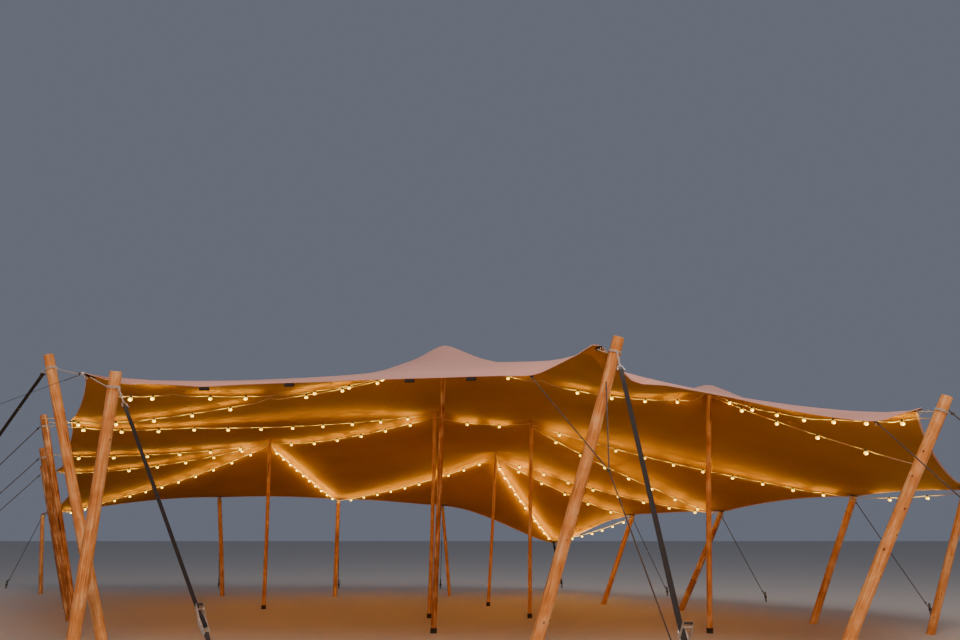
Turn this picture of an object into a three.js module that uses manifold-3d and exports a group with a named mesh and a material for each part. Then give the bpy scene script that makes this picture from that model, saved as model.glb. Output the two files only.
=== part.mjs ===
// A stretch tent of about 10 by 12 m: one elastic cloth pushed up by peeled wooden poles, pulled
// down and out by ratchet straps and guy ropes, with strings of festoon lamps under the cloth.
// Millimetres, +Z up. The origin is the centre of the main pole's foot, on the ground.
// X runs along the open front of the tent and +Y runs from the front to the back.
import * as THREE from 'three';
import { mergeVertices } from 'three/addons/utils/BufferGeometryUtils.js';
import Module from 'manifold-3d';

const wasm = await Module();
wasm.setup();

// Driving dimensions
const SEAT_GAP = 0.3;            // between two pieces that bear on each other
const CLOTH_SEAT_GAP = 0.6;      // between the curved cloth and what it lies on
const SHORTEST_EDGE = 0.05;      // shorter ones are closed up
const CLOTH_THICKNESS = 5;       // the solid cloth, thicker than the real one
const CLOTH_STEPS = 28;          // meshes of the cloth along each of its four sides
const CLOTH_PANELS = 4;          // sewn widths, each running from the front to the back
const EDGE_TENSION = 10;         // of the hem, as a multiple of the cloth's own
const RELAX_ROUNDS = 1800;       // of balancing the pulls at every crossing
const PEAK_REACH = 500;          // how far round a held point the cloth stands up as a cone
const PEAK_ROUND = 250;          // and how near its point the cone rounds off
const TAPER = 0.9;               // head over foot diameter of a peeled pole
const RUBBER_FOOT = { height: 70, proud: 7 };
const STRAP = { width: 50, thickness: 4 };
const ROPE_ACROSS = 14;
const COLLAR = { width: 50, thickness: 9, below_head: 170 };
const CORNER_RING = { centre: [-3822, -3222, 3146], across: 96, thickness: 14 };
const HEM_TAB = { inside: 70, lower: 6 };
const STAKE = { across: 32, height: 190, tie_height: 90 };
const FESTOON = { cable: 10, lamp: 60, pitch: 520, sag: 0.012, drop: 45, lamp_below: 24, sides: 6 };

// Poles: foot on the ground, centre of the head, and diameter at the foot
const POLES = {
  front_left_pole: { foot: [-3550, -3100], head: [-3250, -3600, 3090], across: 135 },
  front_left_prop: { foot: [-3450, -2500], head: [-4450, -2900, 3440], across: 120 },
  front_right_pole: { foot: [1150, -3100], head: [2190, -3600, 3470], across: 140 },
  right_front_pole: { foot: [4290, -3100], head: [5590, -3700, 2800], across: 126 },
  left_pole_1: { foot: [-4950, -400], head: [-5700, -800, 3040], across: 104 },
  left_pole_2: { foot: [-6000, 1300], head: [-6750, 1000, 2750], across: 100 },
  left_pole_3: { foot: [-7050, 3050], head: [-7800, 2800, 2600], across: 90 },
  back_left_pole: { foot: [-9300, 6000], head: [-9800, 6400, 1750], across: 90, under: true },
  back_pole_1: { foot: [-5000, 5500], head: [-5400, 5820, 2120], across: 96, under: true },
  back_pole_2: { foot: [-2500, 5400], head: [-2600, 5700, 2070], across: 96, under: true },
  back_pole_3: { foot: [0, 5500], head: [-200, 5800, 1930], across: 72, under: true },
  right_pole_4: { foot: [3100, 3800], head: [3850, 4100, 1700], across: 98, under: true },
  right_pole_3: { foot: [4350, 2800], head: [5350, 3050, 1750], across: 106, under: true },
  right_pole_2: { foot: [5950, 1000], head: [7050, 1300, 1970], across: 110, under: true },
  right_pole_1: { foot: [7100, -150], head: [7900, -300, 2000], across: 110, under: true },
  main_pole: { foot: [0, 0], head: [100, 0, 4290], across: 84, inner: true },
  right_peak_pole: { foot: [4000, 0], head: [4320, 0, 3640], across: 82, inner: true },
  inner_pole_left: { foot: [-3350, 3000], head: [-3500, 3000, 3150], across: 72, inner: true },
  inner_pole_middle: { foot: [-180, 1700], head: [-160, 1900, 3520], across: 70, inner: true },
  inner_pole_right: { foot: [1510, 1700], head: [1610, 1700, 3320], across: 68, inner: true },
  inner_pole_back: { foot: [830, 3520], head: [1000, 3560, 2980], across: 64, inner: true },
};

// The hem's places, as steps along each side from its first corner: the ones not marked free are
// tied to a pole or a stake
const HEM = {
  front: [
    [0, [-3800, -3200, 3150]],
    [1, [-3400, -3140, 3048], 'free'],
    [4, [-2485, -3090, 3020], 'free'],
    [8, [-1100, -3160, 3064], 'free'],
    [12, [259, -3295, 3084], 'free'],
    [15, [1250, -3450, 3080]],
    [18, [2000, -3500, 3400]],
    [19, [2400, -3120, 3090], 'free'],
    [22, [3560, -3030, 2905], 'free'],
    [26, [4800, -3700, 2540]],
    [28, [5350, -3600, 2690]],
  ],
  left: [
    [7, [-5340, -700, 2970]],
    [12, [-6400, 1050, 2690]],
    [17, [-7500, 2800, 2520]],
    [28, [-9850, 6450, 1760]],
  ],
  right: [
    [10, [7960, -310, 2010]],
    [14, [7110, 1320, 1980]],
    [20, [5400, 3080, 1760]],
    [24, [3890, 4150, 1710]],
    [28, [2400, 6200, 1090]],
  ],
  back: [
    [10, [-5430, 5900, 2130]],
    [17, [-2610, 5760, 2080]],
    [22, [-210, 5860, 1940]],
  ],
};

// Crossings beside the front right tip, where the cloth is drawn down steeply
const DRAWN_DOWN = [
  [19, 1, [2450, -3000, 3110]],
  [18, 2, [2120, -3050, 3200]],
];

// Ridges that the stretched cloth forms between two high places, and how hard each is drawn
const RIDGES = [
  [[2000, -3500], [100, 0], 60],
  [[-3800, -3200], [100, 0], 100],
  [[5350, -3600], [4320, 0], 90],
];
const RIDGE_SHARE = 0.7;         // of the way from the hem to the peak, where the pull has died away

// Straps and ropes that pull on a pole's collar: the pole, the cloth it ties, and the stake
const FRONT_LEFT_TIP = CORNER_RING.centre;
const FRONT_RIGHT_TIP = [2000, -3500, 3400];
const RIGHT_TIP = [5350, -3600, 2690];
const GUYS = {
  front_left_strap: {
    pole: 'front_left_pole', tip: FRONT_LEFT_TIP, stake: [-1450, -4400], flat: true, ratchet: true,
  },
  front_left_prop_strap: {
    pole: 'front_left_prop', tip: FRONT_LEFT_TIP, stake: [-6400, -2500], flat: true,
  },
  front_right_strap: {
    pole: 'front_right_pole', tip: FRONT_RIGHT_TIP, stake: [2270, -5400], flat: true, ratchet: true,
  },
  right_front_guy: { pole: 'right_front_pole', tip: RIGHT_TIP, stake: [7200, -4900] },
  left_guy_1: { pole: 'left_pole_1', tip: [-5340, -700, 2970], stake: [-7300, -2000] },
  left_guy_2: { pole: 'left_pole_2', tip: [-6400, 1050, 2690], stake: [-8400, -100] },
  left_guy_3: { pole: 'left_pole_3', tip: [-7500, 2800, 2520], stake: [-9500, 1900] },
  back_left_guy: { pole: 'back_left_pole', stake: [-11000, 7400] },
  back_guy_1: { pole: 'back_pole_1', stake: [-5800, 7500] },
  back_guy_2: { pole: 'back_pole_2', stake: [-2800, 7350] },
  back_guy_3: { pole: 'back_pole_3', stake: [-300, 7350] },
  right_guy_4: { pole: 'right_pole_4', stake: [4800, 5500] },
  right_guy_3: { pole: 'right_pole_3', stake: [6500, 4300] },
  right_guy_2: { pole: 'right_pole_2', stake: [8500, 2100] },
  right_guy_1: { pole: 'right_pole_1', stake: [9350, -800] },
};

// Straps and ropes that pull on the hem alone
const TIE_DOWNS = {
  corner_strap: { from: FRONT_LEFT_TIP, stake: [-7600, -6700], flat: true, ring: true },
  front_edge_rope: {
    from: [1250, -3450, 3080],
    knot: [1900, -4200, 2000],
    stake: [2350, -5000],
    branch: 'front_right_pole',
    hook: 520,
  },
  right_edge_rope: { from: [4800, -3700, 2540], stake: [5400, -6200] },
  back_corner_strap: { from: [2400, 6200, 1090], stake: [2700, 7500], flat: true },
};

// Ratchets: the height of the spool above the ground and the handle's angle at rest
const RATCHETS = {
  front_left_strap: { handle: 'front_left_ratchet_handle', height: 640, angle: 10 },
  front_right_strap: { handle: 'front_right_ratchet_handle', height: 640, angle: 70 },
};
const RATCHET = {
  plate_inside: 28, plate: 4, plate_length: 170, plate_depth: 34,
  spool: 24, pin: 14, running_gap: 5, arm: 4, arm_width: 24, arm_length: 190, grip: 20, pin_clearance: 0.6,
};

// Festoon strings: each hangs under the cloth from pole to pole, with its depth below the head
const FESTOONS = {
  festoon_front: [
    ['front_left_pole', 260], [-3250, -2150], [-2200, -1100], ['main_pole', 240], [1600, -750],
    ['right_peak_pole', 110], ['right_front_pole', 260],
  ],
  festoon_left_front: [['left_pole_1', 60, 'right'], [-2400, -900], ['main_pole', 270]],
  festoon_left_upper: [['left_pole_1', 95], ['inner_pole_middle', 50]],
  festoon_left_middle: [
    ['left_pole_2', 100], ['inner_pole_left', 80], ['inner_pole_middle', 90], ['inner_pole_right', 50],
  ],
  festoon_left_back: [['left_pole_3', 100], ['inner_pole_left', 110]],
  festoon_back: [
    ['back_left_pole', 25], ['inner_pole_left', 50], ['back_pole_2', 35], ['inner_pole_back', 50, 'right'],
  ],
  festoon_back_corner: [['inner_pole_back', 120], [2360, 5900], ['right_pole_4', 18]],
  festoon_back_right: [['inner_pole_back', 80], ['right_pole_4', 30, 'right']],
  festoon_right_back: [['inner_pole_back', 175], ['right_pole_3', 18]],
  festoon_right_middle: [['inner_pole_right', 110], ['right_pole_3', 30]],
  festoon_right: [['inner_pole_right', 80], ['right_pole_2', 25], ['right_pole_1', 25]],
  festoon_right_front: [['right_peak_pole', 180], ['right_front_pole', 800]],
};
// How far the middle of a stretch sinks, as a share of its length, where it isn't the usual share
const DEEPER_SAG = {
  festoon_left_upper: 0.026, festoon_right: 0.02, festoon_right_middle: 0.025,
  festoon_back_corner: 0.03, festoon_back: 0.02,
};
// Spacing of the lamps on the stretches where it isn't the usual pitch, by the stop they lead to
const OTHER_PITCH = {
  festoon_back: { 2: 280, 3: 400 }, festoon_back_corner: { 1: 270, 2: 300 }, festoon_right_front: { 1: 750 },
};

const paint = (color, roughness, metalness) => (
  new THREE.MeshStandardMaterial({ color, roughness, metalness })
);
const MATERIALS = {
  cloth: paint(0xb7a08f, 0.8, 0),
  wood: paint(0xb5763f, 0.65, 0),
  webbing: paint(0x2a2a2c, 0.8, 0),
  rope: paint(0x3b332b, 0.85, 0),
  steel: paint(0x9a9a96, 0.35, 1),
  lamps: paint(0xffdc96, 0.3, 0),
};

const tent = new THREE.Group();
const v3 = (p) => new THREE.Vector3(p[0], p[1], p[2] ?? 0);

// A closed geometry as a solid that can be joined and cut
function solid(geometry) {
  const bare = geometry.index ? geometry.toNonIndexed() : geometry.clone();
  bare.deleteAttribute('normal');
  bare.deleteAttribute('uv');
  const merged = mergeVertices(bare, 1e-3);
  const mesh = new wasm.Mesh({
    numProp: 3,
    vertProperties: new Float32Array(merged.attributes.position.array),
    triVerts: new Uint32Array(merged.index.array),
  });
  return new wasm.Manifold(mesh);
}

// A solid's faces, with its shortest edges closed up so that no sliver is left where pieces were cut
function geometryOf(body) {
  const { vertProperties, triVerts } = body.getMesh();
  const cut = new THREE.BufferGeometry();
  cut.setAttribute('position', new THREE.BufferAttribute(new Float32Array(vertProperties), 3));
  cut.setIndex(new THREE.BufferAttribute(new Uint32Array(triVerts), 1));
  const geometry = mergeVertices(cut, SHORTEST_EDGE);
  const corners = Array.from(geometry.index.array);
  const kept = [];
  for (let t = 0; t < corners.length; t += 3) {
    const [a, b, c] = corners.slice(t, t + 3);
    if (a !== b && b !== c && c !== a) kept.push(a, b, c);
  }
  geometry.setIndex(kept);
  geometry.computeVertexNormals();
  return geometry;
}

function addPiece(name, body, material) {
  const mesh = new THREE.Mesh(geometryOf(body), MATERIALS[material]);
  mesh.name = name;
  tent.add(mesh);
}

// A round bar from one point to another, with its own radius at each end
function bar(from, to, radiusFrom, radiusTo, sides) {
  const along = to.clone().sub(from);
  const geometry = new THREE.CylinderGeometry(radiusTo, radiusFrom, along.length(), sides);
  const upright = new THREE.Vector3(0, 1, 0);
  geometry.applyQuaternion(new THREE.Quaternion().setFromUnitVectors(upright, along.normalize()));
  geometry.translate(...from.clone().add(to).multiplyScalar(0.5).toArray());
  return solid(geometry);
}

// A box given in a frame of three directions and an origin
function box(frame, centre, size) {
  const geometry = new THREE.BoxGeometry(...size);
  geometry.translate(...centre);
  geometry.applyMatrix4(frame);
  return solid(geometry);
}

const joined = (bodies) => bodies.reduce((whole, body) => whole.add(body));
const ground = box(new THREE.Matrix4(), [0, 0, -500], [40000, 40000, 1000]);

// The cloth's shape: each free crossing of the net lies where the pulls of its neighbours balance
function relaxedNet() {
  const side = CLOTH_STEPS + 1;
  const net = Array.from({ length: side }, () => Array.from({ length: side }, () => null));
  const held = net.map((row) => row.map(() => false));
  const peaks = [];
  const hold = (i, j, place, kind) => {
    net[i][j] = v3(place);
    held[i][j] = true;
    if (kind !== 'free') peaks.push({ i, j, x: place[0], y: place[1] });
  };
  for (const [step, place, kind] of HEM.front) hold(step, 0, place, kind);
  for (const [step, place] of HEM.left) hold(0, step, place);
  for (const [step, place] of HEM.right) hold(CLOTH_STEPS, step, place);
  for (const [step, place] of HEM.back) hold(step, CLOTH_STEPS, place);
  for (const [i, j, place] of DRAWN_DOWN) hold(i, j, place, 'free');

  // A first guess: straight hems between the held points, and a plain blend of the four hems
  const spread = (at) => {
    let last = 0;
    for (let k = 1; k <= CLOTH_STEPS; k += 1) {
      if (!at(k).get()) continue;
      for (let m = last + 1; m < k; m += 1) {
        at(m).set(at(last).get().clone().lerp(at(k).get(), (m - last) / (k - last)));
      }
      last = k;
    }
  };
  const cell = (i, j) => ({ get: () => net[i][j], set: (place) => { net[i][j] = place; } });
  spread((k) => cell(k, 0));
  spread((k) => cell(k, CLOTH_STEPS));
  spread((k) => cell(0, k));
  spread((k) => cell(CLOTH_STEPS, k));
  for (let i = 1; i < CLOTH_STEPS; i += 1) {
    for (let j = 1; j < CLOTH_STEPS; j += 1) {
      net[i][j] ??= net[i][0].clone().lerp(net[i][CLOTH_STEPS], j / CLOTH_STEPS);
    }
  }

  // Pulls balance in plan with a stiff hem, and in height with pulls that grow towards held points
  const onHem = (k) => k === 0 || k === CLOTH_STEPS;
  const inPlan = (i, j, a, b) => {
    const alongHem = i === a ? onHem(i) : onHem(j);
    return alongHem ? EDGE_TENSION : 1;
  };
  const nearness = (place) => {
    const away = Math.min(...peaks.map((peak) => Math.hypot(peak.x - place.x, peak.y - place.y)));
    return PEAK_REACH / Math.max(away, PEAK_ROUND);
  };
  const inHeight = (i, j, a, b) => {
    const middle = net[i][j].clone().lerp(net[a][b], 0.5);
    return inPlan(i, j, a, b) * (1 + nearness(middle));
  };
  const relax = (axes, weightOf, ridges) => {
    const links = [];
    for (let i = 0; i < side; i += 1) {
      for (let j = 0; j < side; j += 1) {
        if (held[i][j]) continue;
        const near = [[i - 1, j], [i + 1, j], [i, j - 1], [i, j + 1]]
          .filter(([a, b]) => a >= 0 && b >= 0 && a < side && b < side)
          .map(([a, b]) => ({ place: net[a][b], weight: weightOf(i, j, a, b) }));
        for (const { path, pull } of ridges) {
          const k = path.findIndex(([a, b]) => a === i && b === j);
          if (k < 1) continue;
          for (const [step, [a, b]] of [[k - 0.5, path[k - 1]], [k + 0.5, path[k + 1]]]) {
            const weight = pull * Math.max(0, 1 - step / (path.length - 1) / RIDGE_SHARE);
            near.push({ place: net[a][b], weight });
          }
        }
        const total = near.reduce((sum, link) => sum + link.weight, 0);
        links.push({ place: net[i][j], near, total });
      }
    }
    for (let round = 0; round < RELAX_ROUNDS; round += 1) {
      for (const { place, near, total } of links) {
        for (const axis of axes) {
          place[axis] = near.reduce((sum, link) => sum + link.place[axis] * link.weight, 0) / total;
        }
      }
    }
  };
  relax(['x', 'y'], inPlan, []);

  // The crossing nearest to each inner pole is lifted onto its head
  for (const pole of Object.values(POLES)) {
    if (!pole.inner) continue;
    let best = null;
    for (let i = 1; i < CLOTH_STEPS; i += 1) {
      for (let j = 1; j < CLOTH_STEPS; j += 1) {
        const away = Math.hypot(net[i][j].x - pole.head[0], net[i][j].y - pole.head[1]);
        if (!held[i][j] && (!best || away < best.away)) best = { i, j, away };
      }
    }
    hold(best.i, best.j, pole.head);
  }
  const peakAt = ([x, y]) => peaks.find((peak) => peak.x === x && peak.y === y);
  const ridges = RIDGES.map(([from, to, pull]) => ({ path: netPath(peakAt(from), peakAt(to)), pull }));
  relax(['x', 'y'], inPlan, ridges);
  relax(['z'], inHeight, ridges);
  return net;
}

// The crossings along the straight way between two crossings
function netPath(from, to) {
  const steps = Math.max(Math.abs(to.i - from.i), Math.abs(to.j - from.j));
  return Array.from({ length: steps + 1 }, (unused, k) => [
    Math.round(from.i + ((to.i - from.i) * k) / steps),
    Math.round(from.j + ((to.j - from.j) * k) / steps),
  ]);
}

const net = relaxedNet();

function netNormal(i, j) {
  const clamp = (k) => Math.min(Math.max(k, 0), CLOTH_STEPS);
  const alongI = net[clamp(i + 1)][j].clone().sub(net[clamp(i - 1)][j]);
  const alongJ = net[i][clamp(j + 1)].clone().sub(net[i][clamp(j - 1)]);
  return alongI.cross(alongJ).normalize();
}

// How far outwards a point of the hem moves when the cloth is grown sideways
function outwards(i, j, distance) {
  const inner = (k) => Math.min(Math.max(k, 1), CLOTH_STEPS - 1);
  const move = new THREE.Vector3();
  if (i !== inner(i)) move.add(net[i][j].clone().sub(net[inner(i)][j]).setLength(distance));
  if (j !== inner(j)) move.add(net[i][j].clone().sub(net[i][inner(j)]).setLength(distance));
  return move;
}

// A closed sheet over the steps from first to last, between two offsets along its normals
function sheet(first, last, below, above, outset) {
  const columns = last - first + 1;
  const rows = CLOTH_STEPS + 1;
  const positions = [];
  const layer = (offset) => {
    for (let i = first; i <= last; i += 1) {
      for (let j = 0; j < rows; j += 1) {
        const point = net[i][j].clone().add(offset(netNormal(i, j)));
        const inward = i === first ? 1 : -1;
        if (outset > 0) point.add(outwards(i, j, outset));
        if ((i === first || i === last) && i > 0 && i < CLOTH_STEPS) {
          const across = net[i + inward][j].clone().sub(net[i][j]).normalize();
          point.addScaledVector(across, SEAT_GAP / 2);
        }
        positions.push(point.x, point.y, point.z);
      }
    }
  };
  layer(below);
  layer(above);
  const count = columns * rows;
  const faces = [];
  const quad = (a, b, c, d) => faces.push(a, b, c, a, c, d);
  const at = (i, j, top) => i * rows + j + (top ? count : 0);
  for (let i = 0; i < columns - 1; i += 1) {
    for (let j = 0; j < rows - 1; j += 1) {
      quad(at(i, j, true), at(i + 1, j, true), at(i + 1, j + 1, true), at(i, j + 1, true));
      quad(at(i, j), at(i, j + 1), at(i + 1, j + 1), at(i + 1, j));
    }
    quad(at(i, 0), at(i + 1, 0), at(i + 1, 0, true), at(i, 0, true));
    const end = rows - 1;
    quad(at(i + 1, end), at(i, end), at(i, end, true), at(i + 1, end, true));
  }
  for (let j = 0; j < rows - 1; j += 1) {
    quad(at(0, j + 1), at(0, j), at(0, j, true), at(0, j + 1, true));
    const end = columns - 1;
    quad(at(end, j + 1), at(end, j + 1, true), at(end, j, true), at(end, j));
  }
  const geometry = new THREE.BufferGeometry();
  geometry.setAttribute('position', new THREE.Float32BufferAttribute(positions, 3));
  geometry.setIndex(faces);
  return solid(geometry);
}

const alongNormal = (distance) => (normal) => normal.clone().multiplyScalar(distance);
const straightUp = (distance) => () => new THREE.Vector3(0, 0, distance);
const half = CLOTH_THICKNESS / 2;
// Everything that the cloth lies on is cut back to its seat gap
const underCloth = alongNormal(-half - CLOTH_SEAT_GAP);
const clothRoom = sheet(0, CLOTH_STEPS, underCloth, straightUp(500), CLOTH_THICKNESS);
// and straps that meet a steep hem are cut back from its upper face and edge as well
const clothSkin = sheet(0, CLOTH_STEPS, underCloth, alongNormal(half + CLOTH_SEAT_GAP), CLOTH_SEAT_GAP);

const perPanel = CLOTH_STEPS / CLOTH_PANELS;
for (let panel = 0; panel < CLOTH_PANELS; panel += 1) {
  const body = sheet(panel * perPanel, (panel + 1) * perPanel, alongNormal(-half), alongNormal(half), 0);
  addPiece(`canopy_panel_${panel + 1}`, body, 'cloth');
}

// Poles, and the room that other pieces leave round each of them
const poleRoom = {};
const axisOf = (pole) => {
  const foot = v3(pole.foot);
  const head = v3(pole.head);
  return { foot, head, along: head.clone().sub(foot).normalize() };
};
for (const [name, pole] of Object.entries(POLES)) {
  const { foot, head, along } = axisOf(pole);
  const radius = pole.across / 2;
  const below = foot.clone().addScaledVector(along, -150);
  const above = pole.under || pole.inner ? head.clone().addScaledVector(along, 30) : head;
  const sides = pole.across > 100 ? 14 : 10;
  let body = bar(below, above, radius, radius * TAPER, sides);
  if (pole.inner) {
    const cuff = foot.clone().addScaledVector(along, RUBBER_FOOT.height);
    body = body.add(bar(below, cuff, radius + RUBBER_FOOT.proud, radius + RUBBER_FOOT.proud, sides));
  }
  body = body.subtract(ground);
  if (pole.under || pole.inner) body = body.subtract(clothRoom);
  addPiece(name, body, 'wood');
  const beyond = head.clone().addScaledVector(along, 400);
  poleRoom[name] = bar(below, beyond, radius + SEAT_GAP, radius * TAPER + SEAT_GAP, sides);
}

// A strap or rope between two points
function pull(from, to, flat) {
  if (!flat) return bar(from, to, ROPE_ACROSS / 2, ROPE_ACROSS / 2, 6);
  const length = from.distanceTo(to);
  return box(strapFrame(from, to), [length / 2, 0, 0], [length, STRAP.width, STRAP.thickness]);
}

// A frame at the strap's upper end: down the strap, across its width, and out from its face
function strapFrame(from, to) {
  const down = to.clone().sub(from).normalize();
  const across = new THREE.Vector3(0, 0, 1).cross(down).normalize();
  const out = down.clone().cross(across);
  if (out.z < 0) {
    across.negate();
    out.negate();
  }
  return new THREE.Matrix4().makeBasis(down, across, out).setPosition(from);
}

function stake(place) {
  const top = v3([place[0], place[1], STAKE.height]);
  return bar(v3([place[0], place[1], -20]), top, STAKE.across / 2, STAKE.across / 2, 6);
}

const stakeTie = (place) => v3([place[0], place[1], STAKE.tie_height]);

function collar(pole, belowHead) {
  const { head, along } = axisOf(pole);
  const radius = pole.across / 2 + COLLAR.thickness;
  const low = head.clone().addScaledVector(along, -belowHead - COLLAR.width / 2);
  const high = head.clone().addScaledVector(along, -belowHead + COLLAR.width / 2);
  return bar(low, high, radius, radius, 10);
}

// Where a strap leaves a pole's collar on its way to another place
function collarEdge(pole, hitch, towards) {
  const level = towards.clone().sub(hitch).setZ(0);
  return hitch.clone().add(level.setLength(pole.across / 2 + COLLAR.thickness / 2));
}

// The ring at the cloth's front left corner, where three straps meet
function cornerRing(grownBy) {
  const rise = new THREE.Vector3(0, 0, CORNER_RING.thickness / 2 + grownBy);
  const centre = v3(CORNER_RING.centre);
  const radius = CORNER_RING.across / 2 + grownBy;
  return bar(centre.clone().sub(rise), centre.clone().add(rise), radius, radius, 12);
}

// The tab sewn under the hem where a rope holds it, a little inside the hem and below the cloth
function hemTab(point) {
  const inner = (k) => Math.min(Math.max(k, 1), CLOTH_STEPS - 1);
  for (let i = 0; i <= CLOTH_STEPS; i += 1) {
    for (let j = 0; j <= CLOTH_STEPS; j += 1) {
      if (net[i][j].distanceTo(point) > 1) continue;
      const inside = net[inner(i)][inner(j)].clone().sub(point).setLength(HEM_TAB.inside);
      return point.clone().add(inside).setZ(point.z + inside.z - HEM_TAB.lower);
    }
  }
  return point;
}

function ratchetFrame(frame) {
  const { plate_inside: inside, plate, plate_length: length, plate_depth: depth } = RATCHET;
  const bodies = [-1, 1].map((sideSign) => box(
    frame,
    [0, sideSign * (inside + plate / 2), 0],
    [length, plate, depth],
  ));
  const reach = inside + plate + RATCHET.running_gap + RATCHET.arm;
  const end = (y) => new THREE.Vector3(0, y, 0).applyMatrix4(frame);
  bodies.push(bar(end(-inside - 1), end(inside + 1), RATCHET.spool / 2, RATCHET.spool / 2, 10));
  bodies.push(bar(end(-reach), end(reach), RATCHET.pin / 2, RATCHET.pin / 2, 10));
  return joined(bodies);
}

function ratchetHandle(frame, angle) {
  const swing = new THREE.Matrix4().makeRotationY(THREE.MathUtils.degToRad(angle));
  const turned = frame.clone().multiply(swing);
  const armInside = RATCHET.plate_inside + RATCHET.plate + RATCHET.running_gap;
  const bodies = [-1, 1].map((sideSign) => box(
    turned,
    [-RATCHET.arm_length / 2 + RATCHET.arm_width / 2, sideSign * (armInside + RATCHET.arm / 2), 0],
    [RATCHET.arm_length + RATCHET.arm_width, RATCHET.arm, RATCHET.arm_width],
  ));
  const grip = (y) => new THREE.Vector3(-RATCHET.arm_length, y, 0).applyMatrix4(turned);
  const gripEnd = armInside + RATCHET.arm;
  bodies.push(bar(grip(-gripEnd), grip(gripEnd), RATCHET.grip / 2, RATCHET.grip / 2, 10));
  const bore = RATCHET.pin / 2 + RATCHET.pin_clearance;
  const pin = (y) => new THREE.Vector3(0, y, 0).applyMatrix4(frame);
  return joined(bodies).subtract(bar(pin(-100), pin(100), bore, bore, 10));
}

const clearOfCloth = (body) => body.subtract(ground).subtract(clothRoom).subtract(clothSkin);

for (const [name, guy] of Object.entries(GUYS)) {
  const pole = POLES[guy.pole];
  const { head, along } = axisOf(pole);
  const belowHead = pole.under ? COLLAR.below_head / 2 : COLLAR.below_head;
  const hitch = head.clone().addScaledVector(along, -belowHead);
  const tie = stakeTie(guy.stake);
  const start = collarEdge(pole, hitch, tie);
  const bodies = [collar(pole, belowHead), pull(start, tie, guy.flat), stake(guy.stake)];
  if (guy.tip) {
    const tip = v3(guy.tip);
    bodies.push(pull(collarEdge(pole, hitch, tip), hemTab(tip), false));
  }
  if (guy.ratchet) {
    const ratchet = RATCHETS[name];
    const frame = strapFrame(start, tie);
    const share = (start.z - ratchet.height) / (start.z - tie.z);
    frame.setPosition(start.clone().lerp(tie, share));
    bodies.push(ratchetFrame(frame));
    addPiece(ratchet.handle, ratchetHandle(frame, ratchet.angle), 'steel');
  }
  const body = clearOfCloth(joined(bodies)).subtract(poleRoom[guy.pole]);
  addPiece(name, body.subtract(cornerRing(SEAT_GAP)), guy.flat ? 'webbing' : 'rope');
}

for (const [name, tieDown] of Object.entries(TIE_DOWNS)) {
  const tie = stakeTie(tieDown.stake);
  const from = v3(tieDown.from);
  const bodies = [stake(tieDown.stake)];
  if (tieDown.ring) bodies.push(cornerRing(0));
  if (tieDown.knot) {
    const knot = v3(tieDown.knot);
    const { head, along } = axisOf(POLES[tieDown.branch]);
    bodies.push(pull(hemTab(from), knot, false));
    bodies.push(pull(knot, tie, false));
    bodies.push(pull(head.addScaledVector(along, -tieDown.hook), knot, false));
    bodies.push(solid(new THREE.SphereGeometry(ROPE_ACROSS, 8, 6).translate(...tieDown.knot)));
  } else {
    bodies.push(pull(hemTab(from), tie, tieDown.flat));
  }
  let body = clearOfCloth(joined(bodies));
  if (tieDown.branch) body = body.subtract(poleRoom[tieDown.branch]);
  addPiece(name, body, tieDown.flat ? 'webbing' : 'rope');
}

// The cloth's height above a place on the ground, or null outside the cloth
function clothHeight(x, y) {
  for (let i = 0; i < CLOTH_STEPS; i += 1) {
    for (let j = 0; j < CLOTH_STEPS; j += 1) {
      for (const [b, c] of [[net[i + 1][j], net[i + 1][j + 1]], [net[i + 1][j + 1], net[i][j + 1]]]) {
        const a = net[i][j];
        const area = (b.x - a.x) * (c.y - a.y) - (c.x - a.x) * (b.y - a.y);
        const s = ((x - a.x) * (c.y - a.y) - (c.x - a.x) * (y - a.y)) / area;
        const t = ((b.x - a.x) * (y - a.y) - (x - a.x) * (b.y - a.y)) / area;
        if (s >= 0 && t >= 0 && s + t <= 1) return a.z + s * (b.z - a.z) + t * (c.z - a.z);
      }
    }
  }
  return null;
}

// A festoon's stops: beside each pole, touching it, or under the cloth. It passes a pole on the
// inner side of its bend, and ends on the left of a pole unless the stop says right
function festoonAnchors(stops) {
  const inPlan = (stop) => (typeof stop[0] === 'number' ? v3(stop) : v3(POLES[stop[0]].head).setZ(0));
  const plan = stops.map(inPlan);
  return stops.map((stop, k) => {
    if (typeof stop[0] === 'number') {
      return v3([stop[0], stop[1], clothHeight(stop[0], stop[1]) - FESTOON.drop]);
    }
    const pole = POLES[stop[0]];
    const { head, along } = axisOf(pole);
    const before = plan[Math.max(k - 1, 0)];
    const after = plan[Math.min(k + 1, plan.length - 1)];
    const inside = before.clone().add(after).multiplyScalar(0.5).sub(plan[k]);
    const aside = new THREE.Vector3(0, 0, 1).cross(after.clone().sub(before)).normalize();
    const ends = k === 0 || k === stops.length - 1;
    if (ends ? stop[2] === 'right' : aside.dot(inside) < 0) aside.negate();
    aside.multiplyScalar((pole.across / 2) * TAPER + FESTOON.cable / 2);
    return head.clone().addScaledVector(along, -stop[1]).add(aside);
  });
}

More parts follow.
